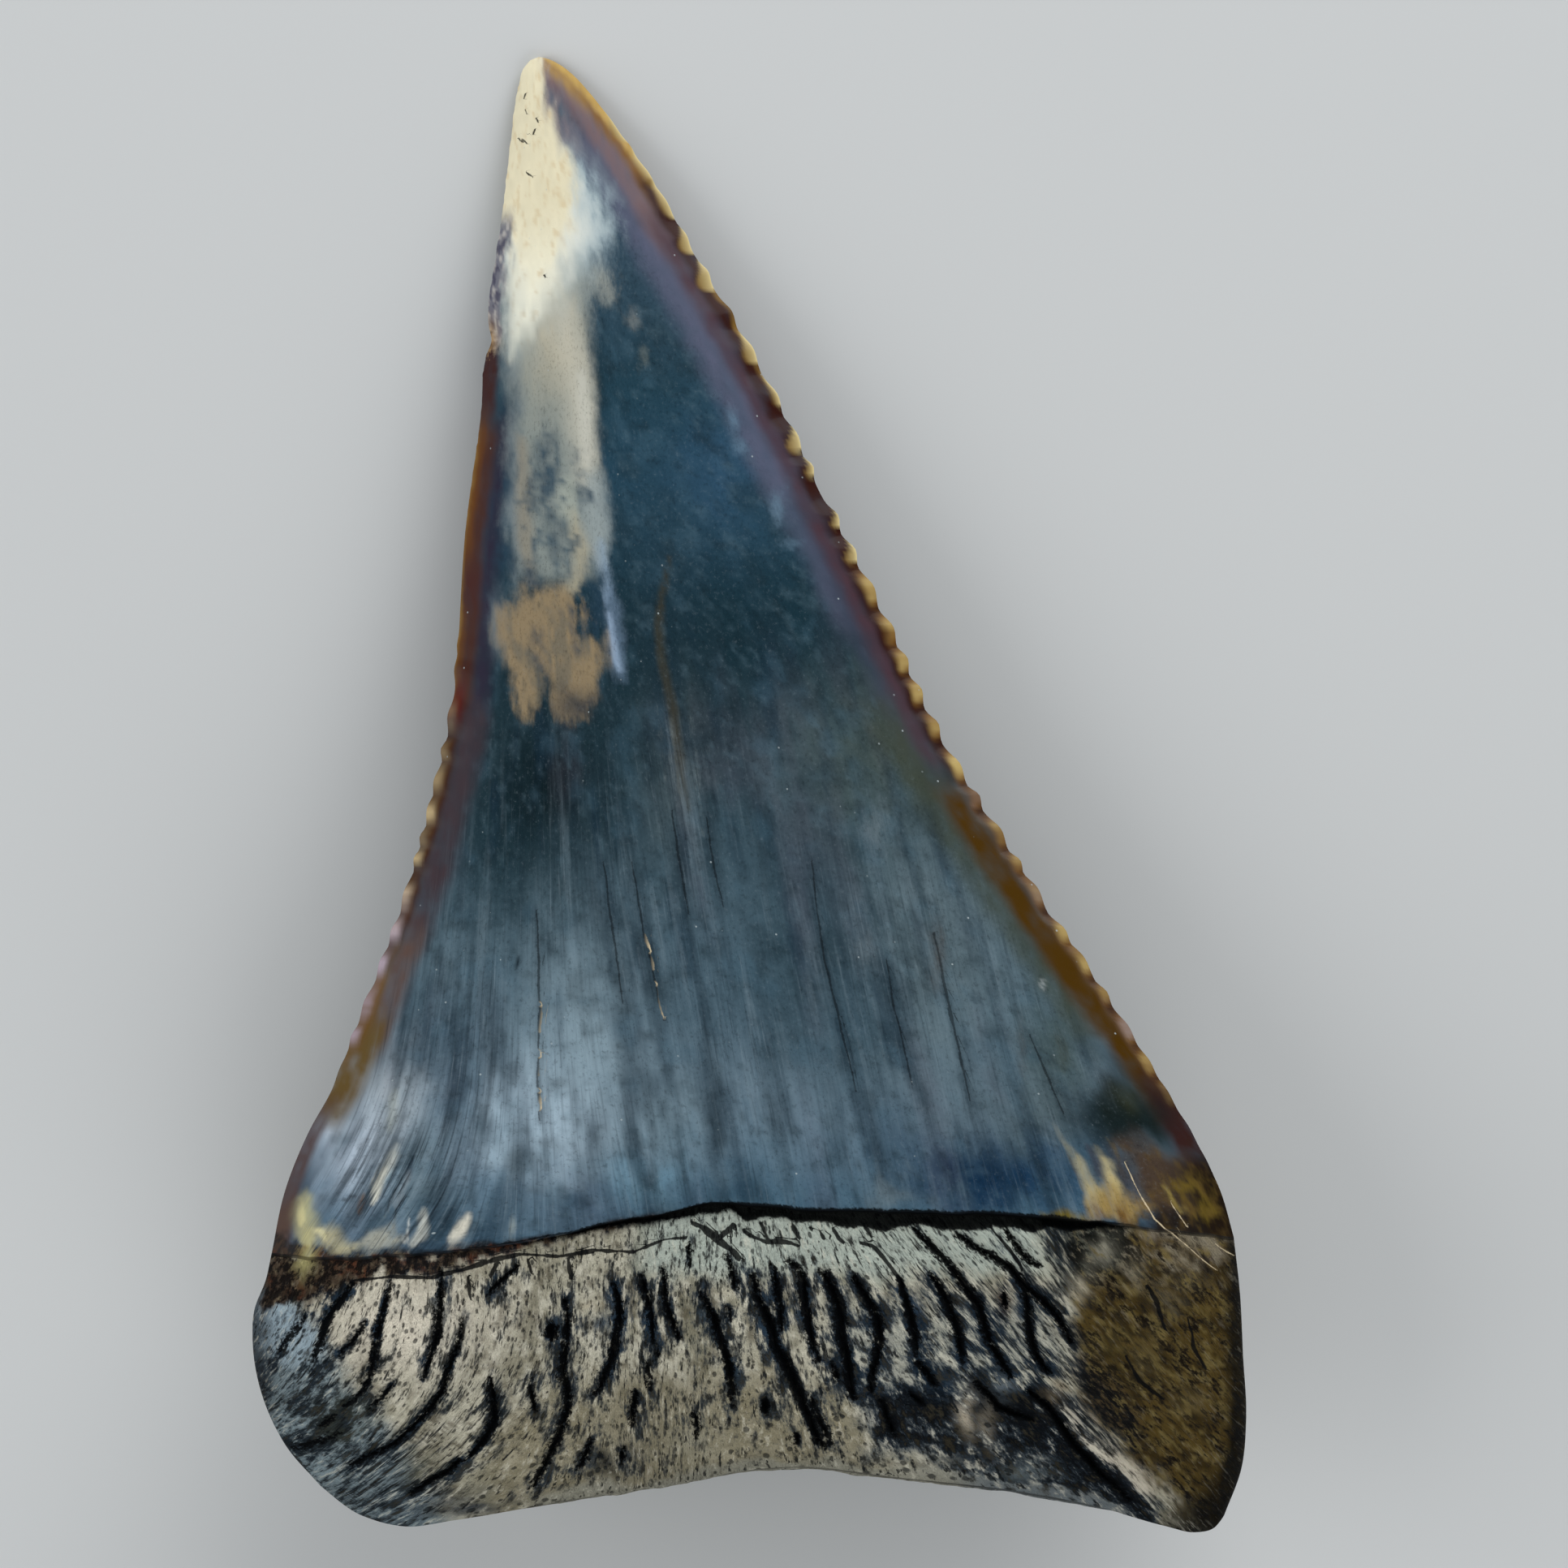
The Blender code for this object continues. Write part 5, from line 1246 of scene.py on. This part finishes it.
def paint_root(at, groove):
    """Colours of the root: cream bone over black-blue hollows."""
    x, y = at.warp_x, at.warp_y
    stain = at.noise((0.4, 1.3), 107)
    blotch = at.noise((0.25, 0.4), 108)
    near = np.exp(-np.maximum(groove + 0.14 * blotch, 0.0) / 0.27) * (1.0 - 0.6 * ease(y, 8.0, 8.7))
    paint = Paint(np.where(at.labial[:, None], CREAM, rgb(150, 146, 126)))
    paint.lower = np.zeros((len(x), 3)) + BLACK_BLUE
    tint(paint.lower, rgb(40, 58, 74), at.mottle((0.4, 0.7), 101, -0.1, 0.5) * 0.85)
    dull = at.noise((0.7, 1.4), 105) + 0.25 * ease(5.5 - y, 0.0, 2.0)
    tint(paint.upper, rgb(122, 118, 98), ease(dull, -0.3, 0.5) * 0.85)
    tint(paint.upper, rgb(204, 200, 182), at.mottle((0.2, 0.5), 106, 0.05, 0.5) * 0.7)
    tint(paint.upper, rgb(84, 78, 62), at.mottle((0.2, 0.32), 104, 0.05, 0.5) * 0.75)
    tint(paint.upper, rgb(224, 216, 198), spot(x, y, (-10.9, 6.8), (2.6, 1.7)) * 0.8)
    tint(paint.upper, rgb(172, 182, 172), ease(y, 7.9, 8.8) * band(x, -3.5, 9.5, 0.8) * 0.9)
    paint.cover = 0.9 - 0.07 * ease(x, -9.5, -7.5) + 0.26 * stain + 0.18 * blotch - 0.58 * near
    paint.crisp = np.full(len(x), 0.8)
    for zone, soft, upper, lower, cover, strength in ROOT_ZONES:
        share = soft_edge(area_distance(x, y, zone) + 0.35 * at.noise((0.4, 0.6), 109), soft) * strength
        share = share * np.where(at.labial, 1.0, 0.6)
        tint(paint.upper, upper, share)
        tint(paint.lower, lower, share)
        paint.cover += (cover + 0.2 * stain + 0.15 * blotch - 0.35 * near - paint.cover) * share
        paint.crisp += (0.8 - paint.crisp) * share
    for x0, y0, half_width, half_height, colour, strength in ROOT_SPOTS:
        share = strength * spot(x, y, (x0, y0), (half_width, half_height)) * at.labial
        paint.wash(colour, share * (1.0 + 1.2 * blotch))
    end = soft_edge(area_distance(x, y, BROWN_END), 0.8)
    beige = at.mottle((0.5, 0.45), 102, -0.1, 0.4) * ease(y, 7.5, 8.8)
    tint(paint.upper, rgb(40, 30, 10), end * at.mottle((0.45, 0.6), 100, 0.0, 0.4) * 0.75)
    tint(paint.upper, rgb(112, 98, 58), end * at.mottle((0.26, 0.3), 103, 0.08, 0.4) * 0.75)
    tint(paint.upper, rgb(128, 120, 102), end * beige * 0.8)
    rim = ease(at.x, 14.9, 15.6) + ease(at.x - at.y, 12.0, 14.0)
    paint.wash(rgb(8, 6, 3), np.clip(rim + 0.3 * blotch * rim, 0.0, 0.94))
    paint.wash(rgb(26, 31, 38), (1.0 - ease(at.x + 0.3 * blotch, -15.8, -14.9)) * 0.85)
    shadow = spot(x, y, (-9.4, 0.9), (1.8, 0.5))
    paint.wash(rgb(44, 52, 60), np.clip(shadow * (0.8 + 1.0 * blotch), 0.0, 0.85) * at.labial)
    strip = soft_edge(y - np.interp(x, *zip(*BASE)) - 0.3, 0.35) * band(x, -7.0, 12.0, 0.6)
    tint(paint.upper, blend(rgb(134, 133, 120), rgb(92, 100, 104), ease(x, 6.0, 8.0)), 0.85 * strip)
    paint.cover += (0.9 + 0.2 * blotch - paint.cover) * strip * 0.85
    return paint


def paint_crumbly_foot(paint, at):
    """The brown, crumbling strip along the left foot of the enamel."""
    away = area_distance(at.warp_x, at.warp_y, CRUMBLY_FOOT) + 0.25 * at.noise((0.4, 0.4), 111)
    share = soft_edge(away, 0.25) * at.labial
    tint(paint.upper, rgb(50, 34, 21), share * 0.95)
    tint(paint.upper, rgb(84, 36, 14), share * at.mottle((0.5, 0.4), 113, 0.0, 0.5) * 0.6)
    tint(paint.upper, rgb(128, 116, 92), share * at.mottle((0.16, 0.16), 119, 0.3, 0.6) * 0.6)
    yellow = spot(at.warp_x, at.warp_y, (-14.15, 8.75), (0.3, 0.4)) * share
    tint(paint.upper, rgb(158, 152, 104), yellow * 0.9)
    tint(paint.lower, rgb(18, 12, 8), share * 0.95)
    paint.cover += (0.45 + 0.3 * at.noise((0.2, 0.2), 115) + 0.5 * yellow - paint.cover) * share
    paint.crisp += (0.8 - paint.crisp) * share


def hair_field(at, x):
    """Signed distance, half width and paleness of the hairlines of the crown and the root."""
    field = np.zeros((len(at.x), 3)) + (0.4, -0.05, 0.0)
    crown, root = ~at.rooted & at.labial, at.rooted & at.labial
    crown_lines = ((0.0, CROWN_CRACKS), (1.0, PALE_VEINS), (1.0, WHITE_DASHES), (0.0, IVORY_PITS))
    bent = at.x + 0.3 * (at.warp_x - at.x)
    field[crown] = hairlines(bent[crown], at.y[crown], crown_lines, 0.25)
    field[root] = hairlines(x[root], at.y[root], ((0.0, ROOT_CRACKS), (1.0, PALE_VEINS)), 0.18)
    field[:, 1] *= 1.0 + 0.7 * at.noise((0.25, 0.5), 117)
    return field


def streak_field(at):
    """How strongly the crown's fine streaks show."""
    corner = soft_edge(area_distance(at.warp_x, at.warp_y, BROWN_CORNER), 0.6)
    inner = ease(at.from_right, 0.9, 2.4) * ease(at.from_left, 0.5, 1.2)
    patches = 0.6 + 0.5 * at.noise((1.2, 4.0), 118)
    for place, size, strength in STREAK_SPOTS:
        patches += strength * spot(at.x, at.y, place, size)
    streak = (1.0 - corner) * (1.0 - ease(at.y, 19.0, 28.0)) * inner * patches
    return np.clip(streak + 0.7 * spot(at.x, at.y, (-2.2, 24.2), (1.1, 2.2)) * at.labial, 0.0, 2.2)


def detail_field(at):
    """Shares of the streaks, of fibrous borders, of pores and of dust."""
    end = np.maximum(soft_edge(area_distance(at.warp_x, at.warp_y, BROWN_END), 0.8),
                     soft_edge(area_distance(at.warp_x, at.warp_y, CRUMBLY_FOOT), 0.3))
    lobe = 1.0 - ease(at.x, -13.0, -10.0)
    fibrous = np.where(at.rooted, np.clip(1.0 - 0.9 * end - 0.55 * lobe, 0.0, 1.0),
                       1.0 - ease(at.y, 25.0, 30.0))
    pores = np.where(at.rooted, 1.0 - 0.8 * end, 0.0)
    pale = soft_edge(area_distance(at.x, at.y, PALE_TIP), 1.0) * ~at.rooted
    rim = 1.0 - ease(np.minimum(at.from_left, at.from_right), 0.9, 1.9)
    dusty = (1.0 - 0.85 * pale) * (1.0 - np.where(at.rooted, 0.3 + 0.5 * end, 0.95 * rim))
    return np.stack([streak_field(at), fibrous, pores, dusty], axis=-1)


def point_fields(points, u, v, side):
    """The mesh's attributes: two coats of colour, grain directions, and distances to the lines."""
    at = Places(points, u, v, side)
    x = at.x + 0.4 * (at.warp_x - at.x)
    groove = strokes_distance(x, at.y, ROOT_GROOVES) - 0.03 * ease(x, -1.0, 2.0)
    groove = np.where(at.rooted & at.labial, groove, 1.0)
    paint, root = paint_blade(at), paint_root(at, groove)
    for coat in ("upper", "lower", "cover", "crisp"):
        blade_coat, root_coat = getattr(paint, coat), getattr(root, coat)
        rooted = at.rooted[:, None] if blade_coat.ndim == 2 else at.rooted
        setattr(paint, coat, np.where(rooted, root_coat, blade_coat))
    paint_crumbly_foot(paint, at)
    # The gap under the enamel's edge, where the material paints black as shade
    gap = np.where(at.labial, gap_distance(at.x, at.below), 1.0)
    gap += 0.3 * ease(at.x, 11.6, 12.8) - 0.07 * band(at.x, -0.5, 10.5, 0.5)
    return {
        "upper": np.column_stack([paint.upper, np.clip(paint.cover, 0.0, 1.0)]),
        "lower": np.column_stack([paint.lower, np.clip(paint.crisp, 0.0, 1.0)]),
        "grain": np.stack([at.fibre, at.y, at.w], axis=-1),
        "lines": np.stack([groove, gap, at.below], axis=-1),
        "hair": hair_field(at, x),
        "detail": detail_field(at),
    }


def add_field(mesh, name, values):
    """Store a field on the mesh's points: four numbers are a colour, three a vector."""
    if values.shape[1] == 4:
        mesh.attributes.new(name, "FLOAT_COLOR", "POINT").data.foreach_set("color", values.ravel())
    else:
        mesh.attributes.new(name, "FLOAT_VECTOR", "POINT").data.foreach_set("vector", values.ravel())


# Material

CROWN_DULLNESS = 0.28       # roughness of the surface
ROOT_DULLNESS = 0.68
LINE_DULLNESS = 0.9
COAT_WEIGHT = 0.07          # polish of the enamel
COAT_ROUGHNESS = 0.12
REFLECTION = 0.05


def solid(colour):
    """A colour with full alpha, for a socket."""
    return (*colour, 1.0)


class Graph:
    """Short ways to lay out a material's nodes."""

    def __init__(self, material):
        material.use_nodes = True
        self.tree = material.node_tree
        self.shader = self.tree.nodes["Principled BSDF"]

    def add(self, kind, **settings):
        node = self.tree.nodes.new(kind)
        for name, value in settings.items():
            setattr(node, name, value)
        return node

    def plug(self, value, socket):
        """Link an output to a socket, or set the socket to a plain value."""
        if isinstance(value, bpy.types.NodeSocket):
            self.tree.links.new(value, socket)
        else:
            socket.default_value = value

    def math(self, operation, a, b=0.0, c=0.0):
        node = self.add("ShaderNodeMath", operation=operation)
        for value, socket in zip((a, b, c), node.inputs):
            self.plug(value, socket)
        return node.outputs[0]

    def times(self, *values):
        """Product of two or more values."""
        product = values[0]
        for value in values[1:]:
            product = self.math("MULTIPLY", product, value)
        return product

    def step(self, value, low, high):
        """A smooth step from 0 to 1 while the value goes from low to high."""
        node = self.add("ShaderNodeMapRange", interpolation_type="SMOOTHSTEP")
        for setting, socket in zip((value, low, high), node.inputs):
            self.plug(setting, socket)
        return node.outputs[0]

    def between(self, a, b, share):
        """Value a, turning into b by its share."""
        node = self.add("ShaderNodeMix", data_type="FLOAT", clamp_factor=True)
        self.plug(share, node.inputs[0])
        self.plug(a, node.inputs[2])
        self.plug(b, node.inputs[3])
        return node.outputs[0]

    def mix(self, a, b, share):
        """Colour a, with b over it by its share."""
        node = self.add("ShaderNodeMix", data_type="RGBA", clamp_factor=True)
        self.plug(share, node.inputs[0])
        for value, socket in zip((a, b), node.inputs[6:8]):
            self.plug(value if isinstance(value, bpy.types.NodeSocket) else solid(value), socket)
        return node.outputs[2]

    def field(self, name):
        return self.add("ShaderNodeAttribute", attribute_name=name)

    def split(self, vector):
        node = self.add("ShaderNodeSeparateXYZ")
        self.plug(vector, node.inputs[0])
        return node.outputs

    def stretch(self, vector, size, offset):
        """Coordinates in units of a width, a length and a depth in millimetres."""
        node = self.add("ShaderNodeVectorMath", operation="MULTIPLY_ADD")
        self.plug(vector, node.inputs[0])
        self.plug(tuple(1.0 / s for s in size), node.inputs[1])
        self.plug((offset, offset, offset), node.inputs[2])
        return node.outputs[0]

    def noise(self, vector, detail, roughness):
        node = self.add("ShaderNodeTexNoise")
        self.plug(vector, node.inputs["Vector"])
        self.plug(1.0, node.inputs["Scale"])
        self.plug(detail, node.inputs["Detail"])
        self.plug(roughness, node.inputs["Roughness"])
        return node.outputs[0]

    def cells(self, vector):
        """Distance to the middle of the nearest cell, and that cell's own number."""
        node = self.add("ShaderNodeTexVoronoi")
        self.plug(vector, node.inputs["Vector"])
        self.plug(1.0, node.inputs["Scale"])
        return node.outputs["Distance"], self.split(node.outputs["Color"])[0]


class ToothGraph(Graph):
    """The tooth's material, from the mesh's fields and from noise along its grain."""

    def __init__(self, material):
        super().__init__(material)
        self.upper, self.lower = self.field("upper"), self.field("lower")
        self.grain = self.field("grain").outputs["Vector"]
        self.groove, self.gap, below = self.split(self.field("lines").outputs["Vector"])
        self.side, self.half, self.pale = self.split(self.field("hair").outputs["Vector"])
        detail = self.field("detail")
        self.streak, self.fibrous, self.porous = self.split(detail.outputs["Color"])
        self.dusty = detail.outputs["Alpha"]
        self.rooted = self.step(below, 0.0, 0.03)
        self.on_blade = self.math("SUBTRACT", 1.0, self.rooted)
        self.grains = self.along((0.19, 0.26, 0.4), 3.0, 4.0, 0.7)
        self.fibres = self.along((0.15, 0.6, 0.6), 7.0, 4.0, 0.7)
        self.fine = self.along((0.075, 2.4, 1.2), 11.0, 3.0, 0.6)
        self.wide = self.along((0.4, 6.0, 2.0), 13.0, 4.0, 0.6)
        self.dust = self.along((0.12, 0.15, 0.3), 17.0, 3.0, 0.75)
        self.ragged = self.math("MULTIPLY_ADD", self.dust, 0.24, -0.12)

    def along(self, size, offset, detail, roughness):
        """Noise along the grain, with bumps of a width, a length and a depth in millimetres."""
        return self.noise(self.stretch(self.grain, size, offset), detail, roughness)

    def stain(self, hue, value, ends, *shares):
        """Lay a hue over the colour where a value goes from one end to the other."""
        self.colour = self.mix(self.colour, hue, self.times(self.step(value, *ends), *shares))

    def coats(self):
        """Upper coat over the lower one; it breaks up into grains, or streaks where fibrous."""
        breaks = self.between(self.grains, self.fibres, self.fibrous)
        crisp = self.lower.outputs["Alpha"]
        reach = self.math("MULTIPLY_ADD", crisp, -0.42, 0.5)
        shift = self.times(self.math("SUBTRACT", breaks, 0.5), crisp, 2.4)
        level = self.math("ADD", self.upper.outputs["Alpha"], shift)
        self.over = self.step(level, self.math("SUBTRACT", 0.5, reach), self.math("ADD", 0.5, reach))
        self.colour = self.mix(self.lower.outputs["Color"], self.upper.outputs["Color"], self.over)
        border = self.math("ABSOLUTE", self.math("SUBTRACT", level, 0.46))
        self.stain(rgb(58, 70, 80), border, (0.3, 0.0), self.fibrous, self.rooted, 0.36)

    def enamel(self):
        """Streaks of the enamel, fine grain and sparse specks of painted glint."""
        streaky = self.times(self.streak, self.on_blade)
        self.stain(rgb(24, 38, 48), self.wide, (0.52, 0.32), streaky, 0.5)
        self.stain(rgb(120, 138, 148), self.wide, (0.52, 0.72), streaky, 0.3)
        self.stain(rgb(18, 28, 36), self.fine, (0.48, 0.3), streaky, 0.38)
        self.stain(rgb(136, 152, 162), self.fine, (0.56, 0.8), streaky, 0.26)
        self.stain(rgb(134, 148, 156), self.dust, (0.54, 0.8), self.dusty, 0.14)
        self.stain(rgb(8, 14, 18), self.dust, (0.5, 0.26), self.dusty, 0.36)
        # Sparse pale specks over the enamel: painted glints
        away, number = self.cells(self.stretch(self.grain, (0.42, 0.42, 0.42), 23.0))
        self.stain(rgb(164, 174, 176), away, (0.1, 0.05), self.step(number, 0.8, 1.0), self.on_blade, 0.7)

    def bone(self):
        """Fibres and pores of the root."""
        away, number = self.cells(self.stretch(self.grain, (0.13, 0.24, 0.4), 29.0))
        size = self.math("MULTIPLY_ADD", number, 0.6, -0.2)
        edge = self.math("SUBTRACT", self.math("ADD", away, self.times(self.ragged, 2.0)), size)
        slit = self.step(self.along((0.09, 0.55, 0.5), 31.0, 3.0, 0.65), 0.4, 0.32)
        self.pore = self.math("MAXIMUM", self.times(self.step(edge, 0.08, -0.12), 0.8), slit)
        bony = self.times(self.porous, self.rooted)
        self.stain(rgb(56, 52, 40), self.fibres, (0.48, 0.34), bony, 0.6)
        self.stain(rgb(214, 210, 192), self.fibres, (0.54, 0.68), self.over, bony, 0.4)
        self.colour = self.mix(self.colour, rgb(20, 25, 28), self.times(self.pore, bony, 0.93))

    def lines(self):
        """Black grooves, painted shade in the gap under the enamel, and the hairlines, which are dark or
        pale.
        """
        groove = self.math("ADD", self.groove, self.times(self.ragged, 2.4))
        gap = self.math("ADD", self.gap, self.times(self.ragged, 0.8))
        # Black of the grooves, and painted shade in the gap under the enamel's edge
        self.black = self.math("MAXIMUM", self.step(groove, 0.07, -0.02), self.step(gap, 0.05, -0.03))
        self.colour = self.mix(self.colour, rgb(5, 7, 9), self.times(self.black, 0.97))
        thin = self.math("SUBTRACT", self.math("ABSOLUTE", self.side), self.half)
        hair = self.math("ADD", thin, self.times(self.ragged, 0.25))
        hue = self.mix(rgb(10, 12, 14), rgb(196, 180, 148), self.pale)
        firm = self.math("MAXIMUM", self.rooted, self.pale)
        firm = self.math("MAXIMUM", firm, self.step(self.dusty, 0.7, 0.4))
        self.stain(hue, hair, (0.02, -0.01), self.between(0.62, 0.94, firm))

    def gloss(self):
        """Polished enamel, dull root, and no gloss in the black grooves and the gap's painted shade."""
        inputs = self.shader.inputs
        rough = self.between(CROWN_DULLNESS, ROOT_DULLNESS, self.rooted)
        rough = self.math("ADD", rough, self.times(self.dust, 0.12))
        coat = self.times(self.math("SUBTRACT", 1.0, self.black), self.on_blade, COAT_WEIGHT)
        self.plug(self.colour, inputs["Base Color"])
        self.plug(self.math("MAXIMUM", rough, self.times(self.black, LINE_DULLNESS)), inputs["Roughness"])
        self.plug(coat, inputs["Coat Weight"])
        inputs["Coat Roughness"].default_value = COAT_ROUGHNESS
        inputs["Specular IOR Level"].default_value = REFLECTION

    def bumps(self):
        """Fine bumps: streaks on the enamel, and grain, fibres and pores on the root."""
        bump = self.add("ShaderNodeBump")
        blade = self.times(self.fine, self.streak, 0.12)
        bone = self.math("MULTIPLY_ADD", self.grains, 0.8, self.times(self.fibres, 2.2))
        root = self.math("SUBTRACT", bone, self.times(self.pore, self.porous, 0.9))
        bump.inputs["Strength"].default_value = 1.0
        bump.inputs["Distance"].default_value = BUMP_DEPTH * MM
        self.plug(self.between(blade, root, self.rooted), bump.inputs["Height"])
        self.plug(bump.outputs[0], self.shader.inputs["Normal"])


def tooth_material():
    """Polished enamel and pitted fossil root."""
    material = bpy.data.materials.new("fossil_tooth")
    graph = ToothGraph(material)
    graph.coats()
    graph.enamel()
    graph.bone()
    graph.lines()
    graph.gloss()
    graph.bumps()
    return material


def build_tooth():
    """The dressed tooth, kept inside the solid's box."""
    points, faces, u, v, side = tooth_shape()
    used = np.unique(np.concatenate([np.array(face) for face in faces]))
    number = np.full(len(points), -1)
    number[used] = np.arange(len(used))
    fields = point_fields(points[used], u[used], v[used], side[used])
    places = lay_down(points[used])
    places = np.clip(places, np.array(cad_box[0]) + BOX_MARGIN, np.array(cad_box[1]) - BOX_MARGIN)
    mesh = bpy.data.meshes.new("fossil_tooth")
    mesh.from_pydata(places.tolist(), [], [[int(number[i]) for i in face] for face in faces])
    for name, values in fields.items():
        add_field(mesh, name, values.astype(np.float32))
    mesh.materials.append(tooth_material())
    mesh.shade_smooth()
    mesh.set_sharp_from_angle(angle=SHARP_ANGLE)
    tooth = bpy.data.objects.new("fossil_tooth", mesh)
    bpy.context.scene.collection.objects.link(tooth)
    mesh.calc_loop_triangles()
    print("triangles", len(mesh.loop_triangles))
    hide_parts("tooth")
    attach(tooth, "root")


# Stage, in metres
FLOOR_REACH = 1.5
FLOOR_COLOUR = rgb(196, 198, 198)
FLOOR_ROUGHNESS = 0.9
FACE_OUT = Vector((0.0, math.sin(TILT), math.cos(TILT)))
FACE_UP = Vector((0.0, math.cos(TILT), -math.sin(TILT)))
FACE_RIGHT = Vector((1.0, 0.0, 0.0))
# Soft lights: (name, degrees from the view, direction round it in degrees, size, watts)
LIGHTS = (
    ("key", 62.0, 70.0, 0.42, 2.15),
    ("fill", 64.0, 185.0, 0.42, 1.0),
    ("low", 66.0, 300.0, 0.42, 0.75),
)
LIGHT_DISTANCE = 0.42
WORLD_COLOUR = (0.9, 0.95, 1.0)
WORLD_STRENGTH = 0.3
CAMERA_TARGET = (1.1, 23.9, 1.0)    # in the face's frame, in millimetres
CAMERA_DISTANCE = 0.1524
CAMERA_NEAR = 0.01
CAMERA_LENS = 110.0                 # millimetres, like the sensor
CAMERA_SENSOR = 36.0


def floor_material():
    """Plain pale surface, clear from below so that the underside can be seen."""
    material = bpy.data.materials.new("pale_floor")
    graph = Graph(material)
    graph.shader.inputs["Base Color"].default_value = solid(FLOOR_COLOUR)
    graph.shader.inputs["Roughness"].default_value = FLOOR_ROUGHNESS
    clear = graph.add("ShaderNodeBsdfTransparent")
    chooser = graph.add("ShaderNodeMixShader")
    graph.plug(graph.add("ShaderNodeNewGeometry").outputs["Backfacing"], chooser.inputs[0])
    graph.plug(graph.shader.outputs[0], chooser.inputs[1])
    graph.plug(clear.outputs[0], chooser.inputs[2])
    output = graph.tree.nodes["Material Output"]
    graph.plug(chooser.outputs[0], output.inputs["Surface"])
    return material


def add_floor():
    """A large pale surface under the tooth."""
    mesh = bpy.data.meshes.new("floor")
    corners = [(x * FLOOR_REACH, y * FLOOR_REACH, 0.0) for x, y in ((-1, -1), (1, -1), (1, 1), (-1, 1))]
    mesh.from_pydata(corners, [], [(0, 1, 2, 3)])
    mesh.materials.append(floor_material())
    floor = bpy.data.objects.new("floor", mesh)
    bpy.context.scene.collection.objects.link(floor)


def aim(thing, place, target, up):
    """Put a light or camera somewhere and turn it to the target."""
    back = (place - target).normalized()
    right = up.cross(back).normalized()
    above = back.cross(right)
    turn = Matrix((right, above, back)).transposed().to_4x4()
    thing.matrix_world = Matrix.Translation(place) @ turn


def add_lights():
    """Soft studio lights round the view, and a dim even surrounding."""
    target = Vector(lay_down(np.array(CAMERA_TARGET)))
    for name, away, round_it, size, watts in LIGHTS:
        light = bpy.data.lights.new(name, "AREA")
        light.shape = "DISK"
        light.size = size
        light.energy = watts
        lamp = bpy.data.objects.new(name, light)
        bpy.context.scene.collection.objects.link(lamp)
        slant, turn = math.radians(away), math.radians(round_it)
        sideways = FACE_RIGHT * math.cos(turn) + FACE_UP * math.sin(turn)
        place = target + (FACE_OUT * math.cos(slant) + sideways * math.sin(slant)) * LIGHT_DISTANCE
        aim(lamp, place, target, FACE_UP)
    world = bpy.data.worlds.new("studio")
    world.use_nodes = True
    background = world.node_tree.nodes["Background"]
    background.inputs["Color"].default_value = solid(WORLD_COLOUR)
    background.inputs["Strength"].default_value = WORLD_STRENGTH
    bpy.context.scene.world = world


def add_camera():
    """The photograph's view: square on to the labial face, with the tip at the top."""
    camera = bpy.data.cameras.new("camera")
    camera.lens = CAMERA_LENS
    camera.sensor_width = CAMERA_SENSOR
    camera.clip_start = CAMERA_NEAR
    eye = bpy.data.objects.new("camera", camera)
    bpy.context.scene.collection.objects.link(eye)
    target = Vector(lay_down(np.array(CAMERA_TARGET)))
    aim(eye, target + FACE_OUT * CAMERA_DISTANCE, target, FACE_UP)
    bpy.context.scene.camera = eye


build_tooth()
add_floor()
add_lights()
add_camera()
bpy.context.scene.view_settings.view_transform = "Standard"
